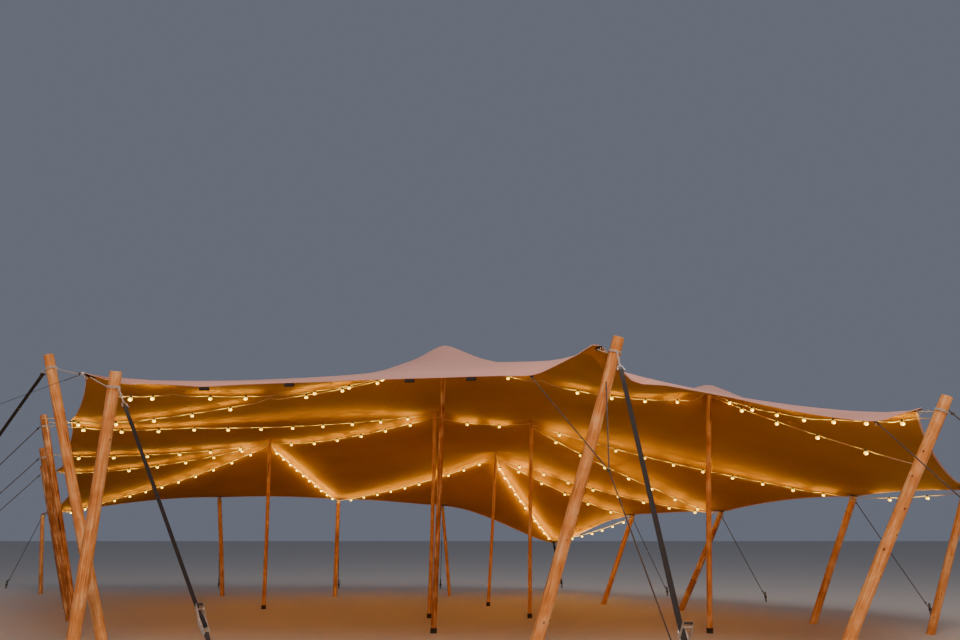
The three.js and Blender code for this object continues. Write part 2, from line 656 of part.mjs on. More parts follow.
// Its route from pole to pole keeps under the cloth by the drop, and sags freely where that is lower.
// Between two lamps the cable has a bare point, so that it follows the cloth there too
function festoonRoute(name) {
  const anchors = festoonAnchors(FESTOONS[name]);
  const route = [anchors[0]];
  for (let k = 1; k < anchors.length; k += 1) {
    const length = anchors[k - 1].distanceTo(anchors[k]);
    const steps = 2 * Math.max(2, Math.round(length / (OTHER_PITCH[name]?.[k] ?? FESTOON.pitch)));
    const sag = (DEEPER_SAG[name] ?? FESTOON.sag) * length;
    for (let m = 1; m <= steps; m += 1) {
      const point = anchors[k - 1].clone().lerp(anchors[k], m / steps);
      point.z -= 4 * sag * (m / steps) * (1 - m / steps);
      for (const near of m < steps ? [m - 0.5, m, m + 0.5] : []) {
        const under = anchors[k - 1].clone().lerp(anchors[k], near / steps);
        const height = clothHeight(under.x, under.y);
        if (height !== null) point.z = Math.min(point.z, height - FESTOON.drop);
      }
      point.bare = m % 2 === 1 || m === steps;
      route.push(point);
    }
  }
  return route;
}

// One closed cable that swells into a lamp at each point of its route that isn't bare
function beadedCable(route) {
  const rings = [];
  const ring = (centre, run, radius) => {
    const aside = new THREE.Vector3(0, 0, 1).cross(run).normalize();
    const up = run.clone().cross(aside).normalize();
    rings.push(Array.from({ length: FESTOON.sides }, (unused, k) => {
      const turn = (k / FESTOON.sides) * Math.PI * 2;
      const point = centre.clone().addScaledVector(aside, Math.cos(turn) * radius);
      return point.addScaledVector(up, Math.sin(turn) * radius);
    }));
  };
  const last = route.length - 1;
  route.forEach((point, k) => {
    const run = route[Math.min(k + 1, last)].clone().sub(route[Math.max(k - 1, 0)]).normalize();
    if (k === 0 || k === last || point.bare) {
      const past = k === 0 ? -FESTOON.lamp : FESTOON.lamp;
      const end = k === 0 || k === last ? point.clone().addScaledVector(run, past / 2) : point;
      ring(end, run, FESTOON.cable / 2);
      return;
    }
    const low = point.clone().add(new THREE.Vector3(0, 0, -FESTOON.lamp_below));
    ring(point.clone().addScaledVector(run, -FESTOON.lamp / 2), run, FESTOON.cable / 2);
    ring(low, run, FESTOON.lamp / 2);
    ring(point.clone().addScaledVector(run, FESTOON.lamp / 2), run, FESTOON.cable / 2);
  });
  const positions = rings.flat().flatMap((point) => point.toArray());
  const sides = FESTOON.sides;
  const faces = [];
  for (let r = 0; r < rings.length - 1; r += 1) {
    for (let k = 0; k < sides; k += 1) {
      const a = r * sides + k;
      const b = r * sides + ((k + 1) % sides);
      faces.push(a, b, b + sides, a, b + sides, a + sides);
    }
  }
  const end = (rings.length - 1) * sides;
  for (let k = 1; k < sides - 1; k += 1) {
    faces.push(0, k + 1, k);
    faces.push(end, end + k, end + k + 1);
  }
  const geometry = new THREE.BufferGeometry();
  geometry.setAttribute('position', new THREE.Float32BufferAttribute(positions, 3));
  geometry.setIndex(faces);
  return solid(geometry);
}

for (const [name, stops] of Object.entries(FESTOONS)) {
  let body = beadedCable(festoonRoute(name));
  for (const stop of stops) {
    if (typeof stop[0] === 'string') body = body.subtract(poleRoom[stop[0]]);
  }
  addPiece(name, body, 'lamps');
}

export default tent;
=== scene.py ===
# %% [markdown]
# A stretch tent is one large elastic sheet that is pushed up by peeled wooden poles and pulled out and
# down by straps and ropes. This script dresses its plain solid model, one kind of piece at a time: the
# cloth first, then the wood, the straps and ropes with their steel, and last the strings of lamps.
# All places are in metres, with Z up and the origin under the main pole.

# %% Load the solid model
import math
import random

import bpy
import numpy as np
from mathutils import Matrix, Vector


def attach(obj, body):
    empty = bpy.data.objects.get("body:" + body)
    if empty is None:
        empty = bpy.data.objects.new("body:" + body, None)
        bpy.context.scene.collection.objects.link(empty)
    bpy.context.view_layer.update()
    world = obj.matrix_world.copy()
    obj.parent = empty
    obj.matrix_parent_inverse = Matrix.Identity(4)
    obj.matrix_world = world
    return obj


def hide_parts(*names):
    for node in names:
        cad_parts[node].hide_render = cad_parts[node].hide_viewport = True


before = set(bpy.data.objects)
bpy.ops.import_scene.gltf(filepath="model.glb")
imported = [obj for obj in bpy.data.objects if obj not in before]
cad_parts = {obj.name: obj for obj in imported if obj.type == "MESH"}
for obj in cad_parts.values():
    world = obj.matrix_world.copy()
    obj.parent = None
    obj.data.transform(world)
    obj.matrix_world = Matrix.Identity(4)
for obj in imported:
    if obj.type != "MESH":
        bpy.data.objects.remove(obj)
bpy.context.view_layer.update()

# %% [markdown]
# The camera stands at eye height in front of the open side and looks a little upwards, as somebody
# would who walks towards the tent. A picture 960 pixels wide with a focal length of 700 pixels is a
# 26.25 mm lens on a sensor 36 mm wide. The vertical lines lean only as much as the tilt makes them.

# %% Camera
PICTURE_WIDTH, FOCAL_LENGTH, SENSOR = 960, 700, 36.0
EYE, TILT_UP = (0.673, -10.995, 1.5), 16.323


def placed(name, data):
    """A new object in the scene, for a mesh, a light or a camera."""
    thing = bpy.data.objects.new(name, data)
    bpy.context.scene.collection.objects.link(thing)
    return thing


camera_data = bpy.data.cameras.new("camera")
camera_data.sensor_width = SENSOR
camera_data.lens = SENSOR * FOCAL_LENGTH / PICTURE_WIDTH
camera_data.clip_end = 200
camera = placed("camera", camera_data)
camera.location = EYE
camera.rotation_euler = (math.radians(90 + TILT_UP), 0, 0)
bpy.context.scene.camera = camera
print(f"lens {camera_data.lens:.2f} mm")

# %% [markdown]
# A finish is a small tree of shader nodes. Writing each tree by hand is long, so one class adds any
# node with its settings and its links, and has short names for the nodes that come often. Colours are
# given as on a paint chart, in sRGB, and turned into the linear light that the renderer works in.

# %% Helpers for finishes
def linear(chart):
    """An sRGB hex colour as linear red, green, blue and alpha."""
    parts = [int(chart[k:k + 2], 16) / 255 for k in (1, 3, 5)]
    return tuple(c / 12.92 if c < 0.04045 else ((c + 0.055) / 1.055) ** 2.4 for c in parts) + (1.0,)


class Finish:
    """A material in the making. Each step adds a node and returns the output that the next one uses."""

    def __init__(self, name):
        self.material = bpy.data.materials.new(name)
        self.material.use_nodes = True
        self.tree = self.material.node_tree
        self.tree.nodes.clear()

    def add(self, kind, output, sockets, **settings):
        """Any node. What goes into a socket is a number, a colour or another node's output."""
        node = self.tree.nodes.new("ShaderNode" + kind)
        for key, value in settings.items():
            setattr(node, key, value)
        for key, value in sockets.items():
            if isinstance(value, bpy.types.NodeSocket):
                self.tree.links.new(value, node.inputs[key])
            else:
                node.inputs[key].default_value = linear(value) if isinstance(value, str) else value
        return node if output is None else node.outputs[output]

    def space(self, kind):
        return self.add("TexCoord", kind, {})

    def stretched(self, where, scale):
        return self.add("Mapping", 0, {"Vector": where, "Scale": scale})

    def noise(self, where, scale, detail=2.0, **sockets):
        return self.add("TexNoise", "Fac", {"Vector": where, "Scale": scale, "Detail": detail, **sockets})

    def wave(self, where, scale, direction, **sockets):
        return self.add("TexWave", "Fac", {"Vector": where, "Scale": scale, **sockets},
                        bands_direction=direction)

    def mark(self):
        return self.add("Attribute", "Fac", {}, attribute_name="mark")

    def math(self, operation, *values):
        return self.add("Math", 0, dict(enumerate(values)), operation=operation)

    def between(self, value, low, high):
        return self.add("MapRange", 0, {"Value": value, "To Min": low, "To Max": high})

    def ramp(self, value, *stops):
        """Colours, or shares of white, at places between 0 and 1."""
        output = self.add("ValToRGB", "Color", {"Fac": value})
        elements = output.node.color_ramp.elements
        while len(elements) < len(stops):
            elements.new(0.5)
        for element, (place, tone) in zip(elements, stops):
            element.position = place
            element.color = linear(tone) if isinstance(tone, str) else (tone, tone, tone, 1)
        return output

    def mix(self, share, tone, other, blend="MIX"):
        return self.add("Mix", 2, {0: share, 6: tone, 7: other}, data_type="RGBA", blend_type=blend)

    def done(self, sockets, height=None, strength=1.0, depth=0.001):
        """Closes the tree with a surface and its relief."""
        if height is not None:
            relief = {"Height": height, "Strength": strength, "Distance": depth}
            sockets = {**sockets, "Normal": self.add("Bump", "Normal", relief)}
        surface = self.add("BsdfPrincipled", "BSDF", sockets)
        self.add("OutputMaterial", None, {"Surface": surface})
        return self.material


print("colours are sRGB hex:", [round(c, 3) for c in linear("#b89a86")])

# %% [markdown]
# Every piece here is a mesh that is worked out from a few numbers. A part is its points, its faces, a
# flat map in metres for its pattern, and its finish, and most parts are a skin over rings of points.
# One function then joins parts into a piece and hangs it on the body that it moves with.

# %% Helpers for meshes
def vec(*numbers):
    return np.array(numbers, dtype=float)


def unit(direction):
    return direction / np.linalg.norm(direction)


def along_line(points):
    """The length along a line of points, at each of them."""
    return np.concatenate([[0], np.cumsum(np.linalg.norm(np.diff(points, axis=0), axis=1))])


def turn_of(sides):
    return np.arange(sides) * 2 * math.pi / sides


def skin(rings, finish, closed=False, ends=(True, True)):
    """Faces over rings of points, one ring after another, with a flat end at the first and the last."""
    count, sides = len(rings), len(rings[0])
    faces = []
    for k in range(count if closed else count - 1):
        here, there = k * sides, (k + 1) % count * sides
        for m in range(sides):
            n = (m + 1) % sides
            faces.append((here + m, here + n, there + n, there + m))
    if ends[0] and not closed:
        faces.append(tuple(range(sides))[::-1])
    if ends[1] and not closed:
        faces.append(tuple(range((count - 1) * sides, count * sides)))
    points = np.vstack(rings)
    return {"points": points, "faces": faces, "flat": points[:, :2], "finish": finish}


SHARP_ANGLE = math.radians(40)


def assemble(name, parts, nodes=(), body="root", place=None):
    """Joins parts into one piece, hangs it on a body and lets it stand for nodes of the solid model."""
    finishes, faces, which, start = [], [], [], 0
    for part in parts:
        faces += [tuple(start + v for v in face) for face in part["faces"]]
        start += len(part["points"])
        for finish in part.get("finishes", [part["finish"]] * len(part["faces"])):
            if finish not in finishes:
                finishes.append(finish)
            which.append(finishes.index(finish))
    mesh = bpy.data.meshes.new(name)
    mesh.from_pydata(np.vstack([part["points"] for part in parts]).tolist(), [], faces)
    for finish in finishes:
        mesh.materials.append(finish)
    mesh.polygons.foreach_set("material_index", which)
    corner = np.zeros(len(mesh.loops), dtype=int)
    mesh.loops.foreach_get("vertex_index", corner)
    flat = np.vstack([part["flat"] for part in parts])
    mesh.uv_layers.new(name="flat").data.foreach_set("uv", flat[corner].ravel())
    marks = [part.get("mark", np.zeros(len(part["points"]))) for part in parts]
    mesh.attributes.new("mark", "FLOAT", "POINT").data.foreach_set("value", np.concatenate(marks))
    mesh.shade_smooth()
    mesh.set_sharp_from_angle(angle=SHARP_ANGLE)
    piece = placed(name, mesh)
    if place is not None:
        piece.matrix_world = Matrix(place.tolist())
        bpy.context.view_layer.update()
    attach(piece, body)
    if nodes:
        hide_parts(*nodes)
    return piece


print("mesh helpers ready")

# %% [markdown]
# These tables say where everything stands: each pole's foot and head with its thickness, the places
# that hold the hem, and the ridges that the cloth is drawn into. They are the tent's own measures, so
# the dressed pieces land exactly on the solid ones. A pole either leans outside the hem and holds the
# cloth by a strap ("out"), stands under the hem ("edge"), or lifts a peak from inside ("peak").

# %% Measures of the tent
POLES = {
    "front_left_pole": ((-3.55, -3.1), (-3.25, -3.6, 3.09), 0.135, "out"),
    "front_left_prop": ((-3.45, -2.5), (-4.45, -2.9, 3.44), 0.120, "out"),
    "front_right_pole": ((1.15, -3.1), (2.19, -3.6, 3.47), 0.140, "out"),
    "right_front_pole": ((4.29, -3.1), (5.59, -3.7, 2.8), 0.126, "out"),
    "left_pole_1": ((-4.95, -0.4), (-5.7, -0.8, 3.04), 0.104, "out"),
    "left_pole_2": ((-6.0, 1.3), (-6.75, 1.0, 2.75), 0.100, "out"),
    "left_pole_3": ((-7.05, 3.05), (-7.8, 2.8, 2.6), 0.090, "out"),
    "back_left_pole": ((-9.3, 6.0), (-9.8, 6.4, 1.75), 0.090, "edge"),
    "back_pole_1": ((-5.0, 5.5), (-5.4, 5.82, 2.12), 0.096, "edge"),
    "back_pole_2": ((-2.5, 5.4), (-2.6, 5.7, 2.07), 0.096, "edge"),
    "back_pole_3": ((0.0, 5.5), (-0.2, 5.8, 1.93), 0.072, "edge"),
    "right_pole_4": ((3.1, 3.8), (3.85, 4.1, 1.7), 0.098, "edge"),
    "right_pole_3": ((4.35, 2.8), (5.35, 3.05, 1.75), 0.106, "edge"),
    "right_pole_2": ((5.95, 1.0), (7.05, 1.3, 1.97), 0.110, "edge"),
    "right_pole_1": ((7.1, -0.15), (7.9, -0.3, 2.0), 0.110, "edge"),
    "main_pole": ((0.0, 0.0), (0.1, 0.0, 4.29), 0.084, "peak"),
    "right_peak_pole": ((4.0, 0.0), (4.32, 0.0, 3.64), 0.082, "peak"),
    "inner_pole_left": ((-3.35, 3.0), (-3.5, 3.0, 3.15), 0.072, "peak"),
    "inner_pole_middle": ((-0.18, 1.7), (-0.16, 1.9, 3.52), 0.070, "peak"),
    "inner_pole_right": ((1.51, 1.7), (1.61, 1.7, 3.32), 0.068, "peak"),
    "inner_pole_back": ((0.83, 3.52), (1.0, 3.56, 2.98), 0.064, "peak"),
}
CLOTH_STEPS = 28
HEM_HELD = {
    (0, 0): (-3.8, -3.2, 3.15), (15, 0): (1.25, -3.45, 3.08), (18, 0): (2.0, -3.5, 3.4),
    (26, 0): (4.8, -3.7, 2.54), (28, 0): (5.35, -3.6, 2.69),
    (0, 7): (-5.34, -0.7, 2.97), (0, 12): (-6.4, 1.05, 2.69), (0, 17): (-7.5, 2.8, 2.52),
    (0, 28): (-9.85, 6.45, 1.76),
    (28, 10): (7.96, -0.31, 2.01), (28, 14): (7.11, 1.32, 1.98), (28, 20): (5.4, 3.08, 1.76),
    (28, 24): (3.89, 4.15, 1.71), (28, 28): (2.4, 6.2, 1.09),
    (10, 28): (-5.43, 5.9, 2.13), (17, 28): (-2.61, 5.76, 2.08), (22, 28): (-0.21, 5.86, 1.94),
}
CLOTH_SHAPED = {
    (1, 0): (-3.4, -3.14, 3.048), (4, 0): (-2.485, -3.09, 3.02), (8, 0): (-1.1, -3.16, 3.064),
    (12, 0): (0.259, -3.295, 3.084), (19, 0): (2.4, -3.12, 3.09), (22, 0): (3.56, -3.03, 2.905),
    (19, 1): (2.45, -3.0, 3.11), (18, 2): (2.12, -3.05, 3.2),
}
RIDGES = [
    ((2.0, -3.5), (0.1, 0.0), 60), ((-3.8, -3.2), (0.1, 0.0), 100),
    ((5.35, -3.6), (4.32, 0.0), 90),
]
print(f"{len(POLES)} poles, {len(HEM_HELD)} places that hold the hem")

# %% [markdown]
# Stretched cloth finds its own shape: every crossing of a net drawn on it comes to rest where the pulls
# of its neighbours balance. That is a set of linear equations, one for each free crossing, so there is
# no need for a cloth simulation with its folds and bounces. The hem pulls ten times harder than the
# cloth, because a webbing is sewn into it, and the cloth pulls harder towards a pole's head, which
# draws it up into a cone. From the high places of the hem a ridge runs up towards a peak, and its pull
# dies away before it gets there.

# %% The cloth's shape
EDGE_TENSION = 10
PEAK_REACH, PEAK_ROUND = 0.5, 0.25
RIDGE_SHARE = 0.7


def balanced(places, held, pull_of, ridges, axes):
    """Moves the free crossings along these axes to where the pulls on them balance."""
    free = [c for c in np.ndindex(held.shape) if not held[c]]
    row = {c: k for k, c in enumerate(free)}
    matrix = np.zeros((len(free), len(free)))
    known = np.zeros((len(free), len(axes)))

    def link(c, other, pull):
        matrix[row[c], row[c]] += pull
        if other in row:
            matrix[row[c], row[other]] -= pull
        else:
            known[row[c]] += pull * places[other][axes]

    for i, j in free:
        for other in ((i - 1, j), (i + 1, j), (i, j - 1), (i, j + 1)):
            if 0 <= other[0] <= CLOTH_STEPS and 0 <= other[1] <= CLOTH_STEPS:
                link((i, j), other, pull_of((i, j), other))
    for path, pull in ridges:
        for k, (low, high) in enumerate(zip(path, path[1:])):
            slacker = pull * max(0, 1 - (k + 0.5) / (len(path) - 1) / RIDGE_SHARE)
            for c, other in ((low, high), (high, low)):
                if c in row:
                    link(c, other, slacker)
    solved = np.linalg.solve(matrix, known)
    for c, place in zip(free, solved):
        for axis, value in zip(axes, place):
            places[c][axis] = value


def relaxed_net():
    side = CLOTH_STEPS + 1
    net = np.zeros((side, side, 3))
    held = np.zeros((side, side), dtype=bool)
    for crossing, place in {**HEM_HELD, **CLOTH_SHAPED}.items():
        net[crossing], held[crossing] = place, True
    peaks = {tuple(place[:2]): crossing for crossing, place in HEM_HELD.items()}

    def in_plan(c, other):
        k = c[1] if c[0] != other[0] else c[0]
        return EDGE_TENSION if k in (0, CLOTH_STEPS) else 1

    def in_height(c, other):
        middle = (net[c] + net[other])[:2] / 2
        away = min(np.hypot(*(middle - peak)) for peak in peaks)
        return in_plan(c, other) * (1 + PEAK_REACH / max(away, PEAK_ROUND))

    balanced(net, held, in_plan, [], [0, 1])
    for foot, head, across, kind in POLES.values():
        if kind == "peak":
            away = np.hypot(net[..., 0] - head[0], net[..., 1] - head[1])
            away[held] = np.inf
            away[[0, -1]] = away[:, [0, -1]] = np.inf
            crossing = tuple(int(k) for k in np.unravel_index(away.argmin(), away.shape))
            net[crossing], held[crossing] = head, True
            peaks[head[:2]] = crossing
    ridges = []
    for start, end, pull in RIDGES:
        a, b = np.array(peaks[start]), np.array(peaks[end])
        steps = int(abs(b - a).max())
        path = [tuple(int(v) for v in np.floor(a + (b - a) * k / steps + 0.5)) for k in range(steps + 1)]
        ridges.append((path, pull))
    balanced(net, held, in_plan, ridges, [0, 1])
    balanced(net, held, in_height, ridges, [2])
    return net


net = relaxed_net()
print("the cloth's middle stands at", np.round(net[14, 14], 3))

# %% [markdown]
# The net is coarse, with half a metre between crossings, and cloth is smooth. A Catmull-Rom curve goes
# through all its points and rounds what is between them. Used both ways over the net, it gives a fine
# surface that still touches every pole head. A subdivision surface would shrink away from them. Close
# to a pole's head the cloth falls away more steeply than a curve through the net can, so it is drawn
# down into a small cone there.

# %% A fine surface through the net
FINER = 6
PEAK_WIDTH, PEAK_SINK = 1.0, 0.02


def finer_weights():
    """The matrix that takes the net's crossings along one side to the fine points."""
    side = CLOTH_STEPS + 1
    ghosts = np.zeros((side + 2, side))
    ghosts[1:-1] = np.eye(side)
    ghosts[0, :2] = 2, -1
    ghosts[-1, -2:] = -1, 2
    rows = []
    for k in range(CLOTH_STEPS * FINER + 1):
        cell = min(k // FINER, CLOTH_STEPS - 1)
        t = k / FINER - cell
        near = 0.5 * np.array([-t + 2 * t ** 2 - t ** 3, 2 - 5 * t ** 2 + 3 * t ** 3,
                               t + 4 * t ** 2 - 3 * t ** 3, -t ** 2 + t ** 3])
        rows.append(near @ ghosts[cell:cell + 4])
    return np.array(rows)


weights = finer_weights()
surface = np.einsum("ai,bj,ijx->abx", weights, weights, net)
for foot, head, across, kind in POLES.values():
    if kind == "peak":
        away = np.hypot(surface[..., 0] - head[0], surface[..., 1] - head[1]) / PEAK_WIDTH
        surface[..., 2] -= PEAK_SINK * 6.75 * away * np.clip(1 - away, 0, 1) ** 2
normals = np.cross(np.gradient(surface, axis=0), np.gradient(surface, axis=1))
normals /= np.linalg.norm(normals, axis=2, keepdims=True)
print(f"{surface.shape[0]} by {surface.shape[1]} points")


def cloth_height(x, y):
    """The cloth's height above a place on the ground, or None outside it."""
    a, b, c, d = net[:-1, :-1], net[1:, :-1], net[1:, 1:], net[:-1, 1:]
    for p, q, r in ((a, b, c), (a, c, d)):
        area = (q[..., 0] - p[..., 0]) * (r[..., 1] - p[..., 1])
        area -= (r[..., 0] - p[..., 0]) * (q[..., 1] - p[..., 1])
        s = ((x - p[..., 0]) * (r[..., 1] - p[..., 1]) - (r[..., 0] - p[..., 0]) * (y - p[..., 1])) / area
        t = ((q[..., 0] - p[..., 0]) * (y - p[..., 1]) - (x - p[..., 0]) * (q[..., 1] - p[..., 1])) / area
        inside = np.argwhere((s >= -1e-9) & (t >= -1e-9) & (s + t <= 1 + 1e-9))
        if len(inside):
            k = tuple(inside[0])
            return float(p[k][2] + s[k] * (q[k][2] - p[k][2]) + t[k] * (r[k][2] - p[k][2]))
    return None


print(f"over the main pole's foot the cloth is {cloth_height(0, 0):.3f} m up")

# %% [markdown]
# The cloth is a knitted polyester with elastic threads, coated on top with polyurethane. The coated
# top is pale and slightly waxy. The knitted underside is a warm sand colour, painted here as a deep
# amber: painted lamp light, standing in for the glow of the lamps under the cloth. The two sides are
# two layers of one closed mesh, so each has its own finish from every side. The knit is finer than a
# pixel here, so its ribs are drawn 12 mm apart.

# %% The two sides of the cloth
PANEL_WIDTH, WELD_HALF = 2.6, 0.012


def cloth_finish(name, pale, deep, roughness, sheen):
    new = Finish(name)
    flat = new.space("UV")
    clouds = new.math("MULTIPLY_ADD", new.noise(flat, 90.0, 3.0), 0.35, new.noise(flat, 0.7, 4.0))
    tone = new.ramp(clouds, (0.38, deep), (0.9, pale))
    width = new.math("PINGPONG", new.add("SeparateXYZ", "X", {"Vector": flat}), PANEL_WIDTH / 2)
    weld = new.math("LESS_THAN", width, WELD_HALF)
    ribs = new.wave(flat, 26.0, "Y", Distortion=1.0, Detail=2.0)
    return new.done({
        "Base Color": new.mix(weld, tone, "#f7f5f2", "MULTIPLY"), "Roughness": roughness,
        "Sheen Weight": sheen, "Sheen Roughness": 0.5, "Specular IOR Level": 0.3,
    }, new.math("MULTIPLY_ADD", weld, 0.6, ribs), 0.25, 0.001)


coated_top = cloth_finish("coated_stretch_cloth", "#d6a79d", "#bf9086", 0.62, 0.15)
# the underside's saturated amber is painted lamp light on sand-coloured cloth
lamp_amber_inside = cloth_finish("knitted_cloth_inside_painted_lamp_glow", "#b87c12", "#9c640c", 0.85, 0.0)
print("finishes:", coated_top.name, lamp_amber_inside.name)

# %% [markdown]
# The sheet itself is two layers 2 mm apart, joined along the hem. The hem is folded over a webbing, so
# it is thicker: a flat tube follows the edge. The flat map gives each point its place on the cut
# cloth, ten and a half metres by eleven, so the pattern stretches with the cloth as the real one does.

# %% The canopy
CLOTH_THICK = 0.002
CUT_WIDTH, CUT_LENGTH = 4 * PANEL_WIDTH, 11.0


def canopy_part():
    side = len(surface)
    grid = np.arange(side * side).reshape(side, side)
    cell = np.stack([grid[:-1, :-1], grid[1:, :-1], grid[1:, 1:], grid[:-1, 1:]], axis=-1).reshape(-1, 4)
    share = np.linspace(0, 1, side)
    flat = np.stack(np.meshgrid(share * CUT_WIDTH, share * CUT_LENGTH, indexing="ij"), axis=-1)
    top = (surface + normals * CLOTH_THICK / 2).reshape(-1, 3)
    under = (surface - normals * CLOTH_THICK / 2).reshape(-1, 3)
    edge = np.concatenate([grid[:-1, 0], grid[-1, :-1], grid[:0:-1, -1], grid[0, :0:-1]])
    ahead = np.roll(edge, -1)
    rim = np.stack([edge, edge + side * side, ahead + side * side, ahead], axis=-1)
    faces = np.vstack([cell, rim, cell[:, [0, 3, 2, 1]] + side * side])
    return {
        "points": np.vstack([top, under]),
        "flat": np.vstack([flat.reshape(-1, 2)] * 2),
        "faces": faces.tolist(),
        "finish": coated_top,
        "finishes": [coated_top] * (len(cell) + len(rim)) + [lamp_amber_inside] * len(cell),
    }, edge


cloth_part, hem_points = canopy_part()
canopy = assemble("canopy", [cloth_part], [f"canopy_panel_{k}" for k in (1, 2, 3, 4)])
hem_line = surface.reshape(-1, 3)[hem_points]
corners = surface[:-1, :-1], surface[1:, :-1], surface[:-1, 1:]
cloth_area = np.linalg.norm(np.cross(corners[1] - corners[0], corners[2] - corners[0]), axis=2).sum()
print(f"{cloth_area:.1f} square metres of stretched cloth, with a hem of {along_line(hem_line)[-1]:.1f} m")

# %% [markdown]
# The poles are young pine trunks with the bark peeled off: they taper towards the head, bend a little,
# and have low knots where branches grew. A turned cylinder would look like a pipe, so each log is a ring
# of points that is pushed out by knots and slow waves, ring after ring along a slightly bent line. How
# near a point is to a knot is kept as a mark on the mesh, so that the finish can darken exactly there.

# %% Peeled pine
def pine_finish(name, pale, deep, knot):
    new = Finish(name)
    apart = new.math("MULTIPLY", new.add("ObjectInfo", "Random", {}), 40.0)
    shift = new.add("CombineXYZ", 0, {"Z": apart})
    inside = new.add("VectorMath", 0, {0: new.space("Object"), 1: shift}, operation="ADD")
    # the fibres run along the trunk, 20 times longer than wide
    fibre = new.stretched(inside, (60.0, 60.0, 3.0))
    grain = new.noise(fibre, 1.0, 7.0, Roughness=0.6, Distortion=0.5)
    tone = new.math("MULTIPLY_ADD", new.noise(inside, 5.0, 4.0), 0.6, grain)
    wood = new.ramp(tone, (0.58, deep), (0.8, pale), (1.0, "#e0b987"))
    drying = new.noise(new.stretched(inside, (26.0, 26.0, 1.1)), 1.0, 2.0)
    crack = new.ramp(drying, (0.29, 1.0), (0.31, 0.0))
    with_knots = new.mix(new.ramp(new.mark(), (0.3, 0.0), (0.7, 1.0)), wood, knot)
    return new.done({
        "Base Color": new.mix(crack, with_knots, "#6a4628", "MULTIPLY"),
        "Roughness": new.between(grain, 0.5, 0.75), "Specular IOR Level": 0.35,
    }, new.math("MULTIPLY_ADD", crack, -1.4, grain), 0.5, 0.002)


peeled_pine = pine_finish("peeled_pine", "#cf9150", "#a8672a", "#5c3114")
# a darker copy of the same peeled pine: painted shade for the poles that stand in shadow
shaded_pine = pine_finish("peeled_pine_painted_shade", "#a4682e", "#7b4412", "#44260e")
print("finishes:", peeled_pine.name, shaded_pine.name)

# %% [markdown]
# The sawn head shows the growth rings: circles about the pith, each a year apart. They are drawn 4 mm
# apart, twice as wide as real ones. The rubber shoe under an inner pole is moulded, so it is matt black
# with a fine even grain and a little dust.

# %% Sawn wood and rubber
def moulded_finish(name, scale, detail, stops, relief, grit=None, **sockets):
    """A moulded surface with dust or smudges, and the fine grain of its mould."""
    new = Finish(name)
    place = new.space("Object")
    dust = new.noise(place, scale, detail)
    height = new.noise(place, grit) if grit else dust
    return new.done({"Base Color": new.ramp(dust, *stops), **sockets}, height, *relief)


sawn = Finish("sawn_pine_end")
rings = sawn.add("TexWave", "Fac", {
    "Vector": sawn.space("Object"), "Scale": 40.0, "Distortion": 1.5, "Detail": 3.0,
}, wave_type="RINGS", rings_direction="Z")
year = sawn.ramp(rings, (0.2, "#e0bd8c"), (0.8, "#b98a55"))
sawn_pine = sawn.done({"Base Color": year, "Roughness": 0.75}, rings, 0.3, 0.001)
black_rubber = moulded_finish("moulded_black_rubber", 14.0, 5.0, [(0.4, "#191817"), (0.8, "#3a3632")],
                              (0.3, 0.0006), grit=400.0, Roughness=0.7, IOR=1.52)
print("finishes:", sawn_pine.name, black_rubber.name)

# %% [markdown]
# Each log is made standing at the origin and then leaned into place, so that the grain in its finish
# follows the trunk. The lowest rings are sheared so that the foot lies flat on the ground. A pole
# outside the hem has a sawn head with a worn edge. A pole under the cloth has a rounded head that ends
# just under the surface that it lifts.

# %% Poles
TAPER = 0.9
UNDER_CLOTH = 0.008
FOOT_BLEND = 0.3
KNOT_REACH = 4
SHOE_HEIGHT, SHOE_PROUD, SHOE_RIB = 0.07, 0.007, 0.003


def level_rings(profile, sides):
    """Rings about the Z axis, from a profile of heights and radii."""
    turn = turn_of(sides)
    return [np.stack([np.cos(turn) * r, np.sin(turn) * r, np.full(sides, z)], axis=1) for z, r in profile]


def frame_matrix(x_axis, y_axis, z_axis, place):
    """The 4 by 4 matrix that puts something made at the origin in its place."""
    matrix = np.eye(4)
    matrix[:3, :] = np.stack([x_axis, y_axis, z_axis, place], axis=1)
    return matrix


def leaning_frame(foot, head):
    """The place and turn of something that was made upright at the origin."""
    foot = vec(*foot, 0)
    run = unit(vec(*head) - foot)
    side = unit(np.cross(vec(0, 1, 0), run))
    return frame_matrix(side, np.cross(run, side), run, foot)


def stood_level(ring, z, matrix):
    """Shears a low ring of a leaning pole, so that the foot lies flat on the ground."""
    ring[:, 2] -= ring[:, :2] @ matrix[2, :2] / matrix[2, 2] * max(0, 1 - z / FOOT_BLEND)
    return ring


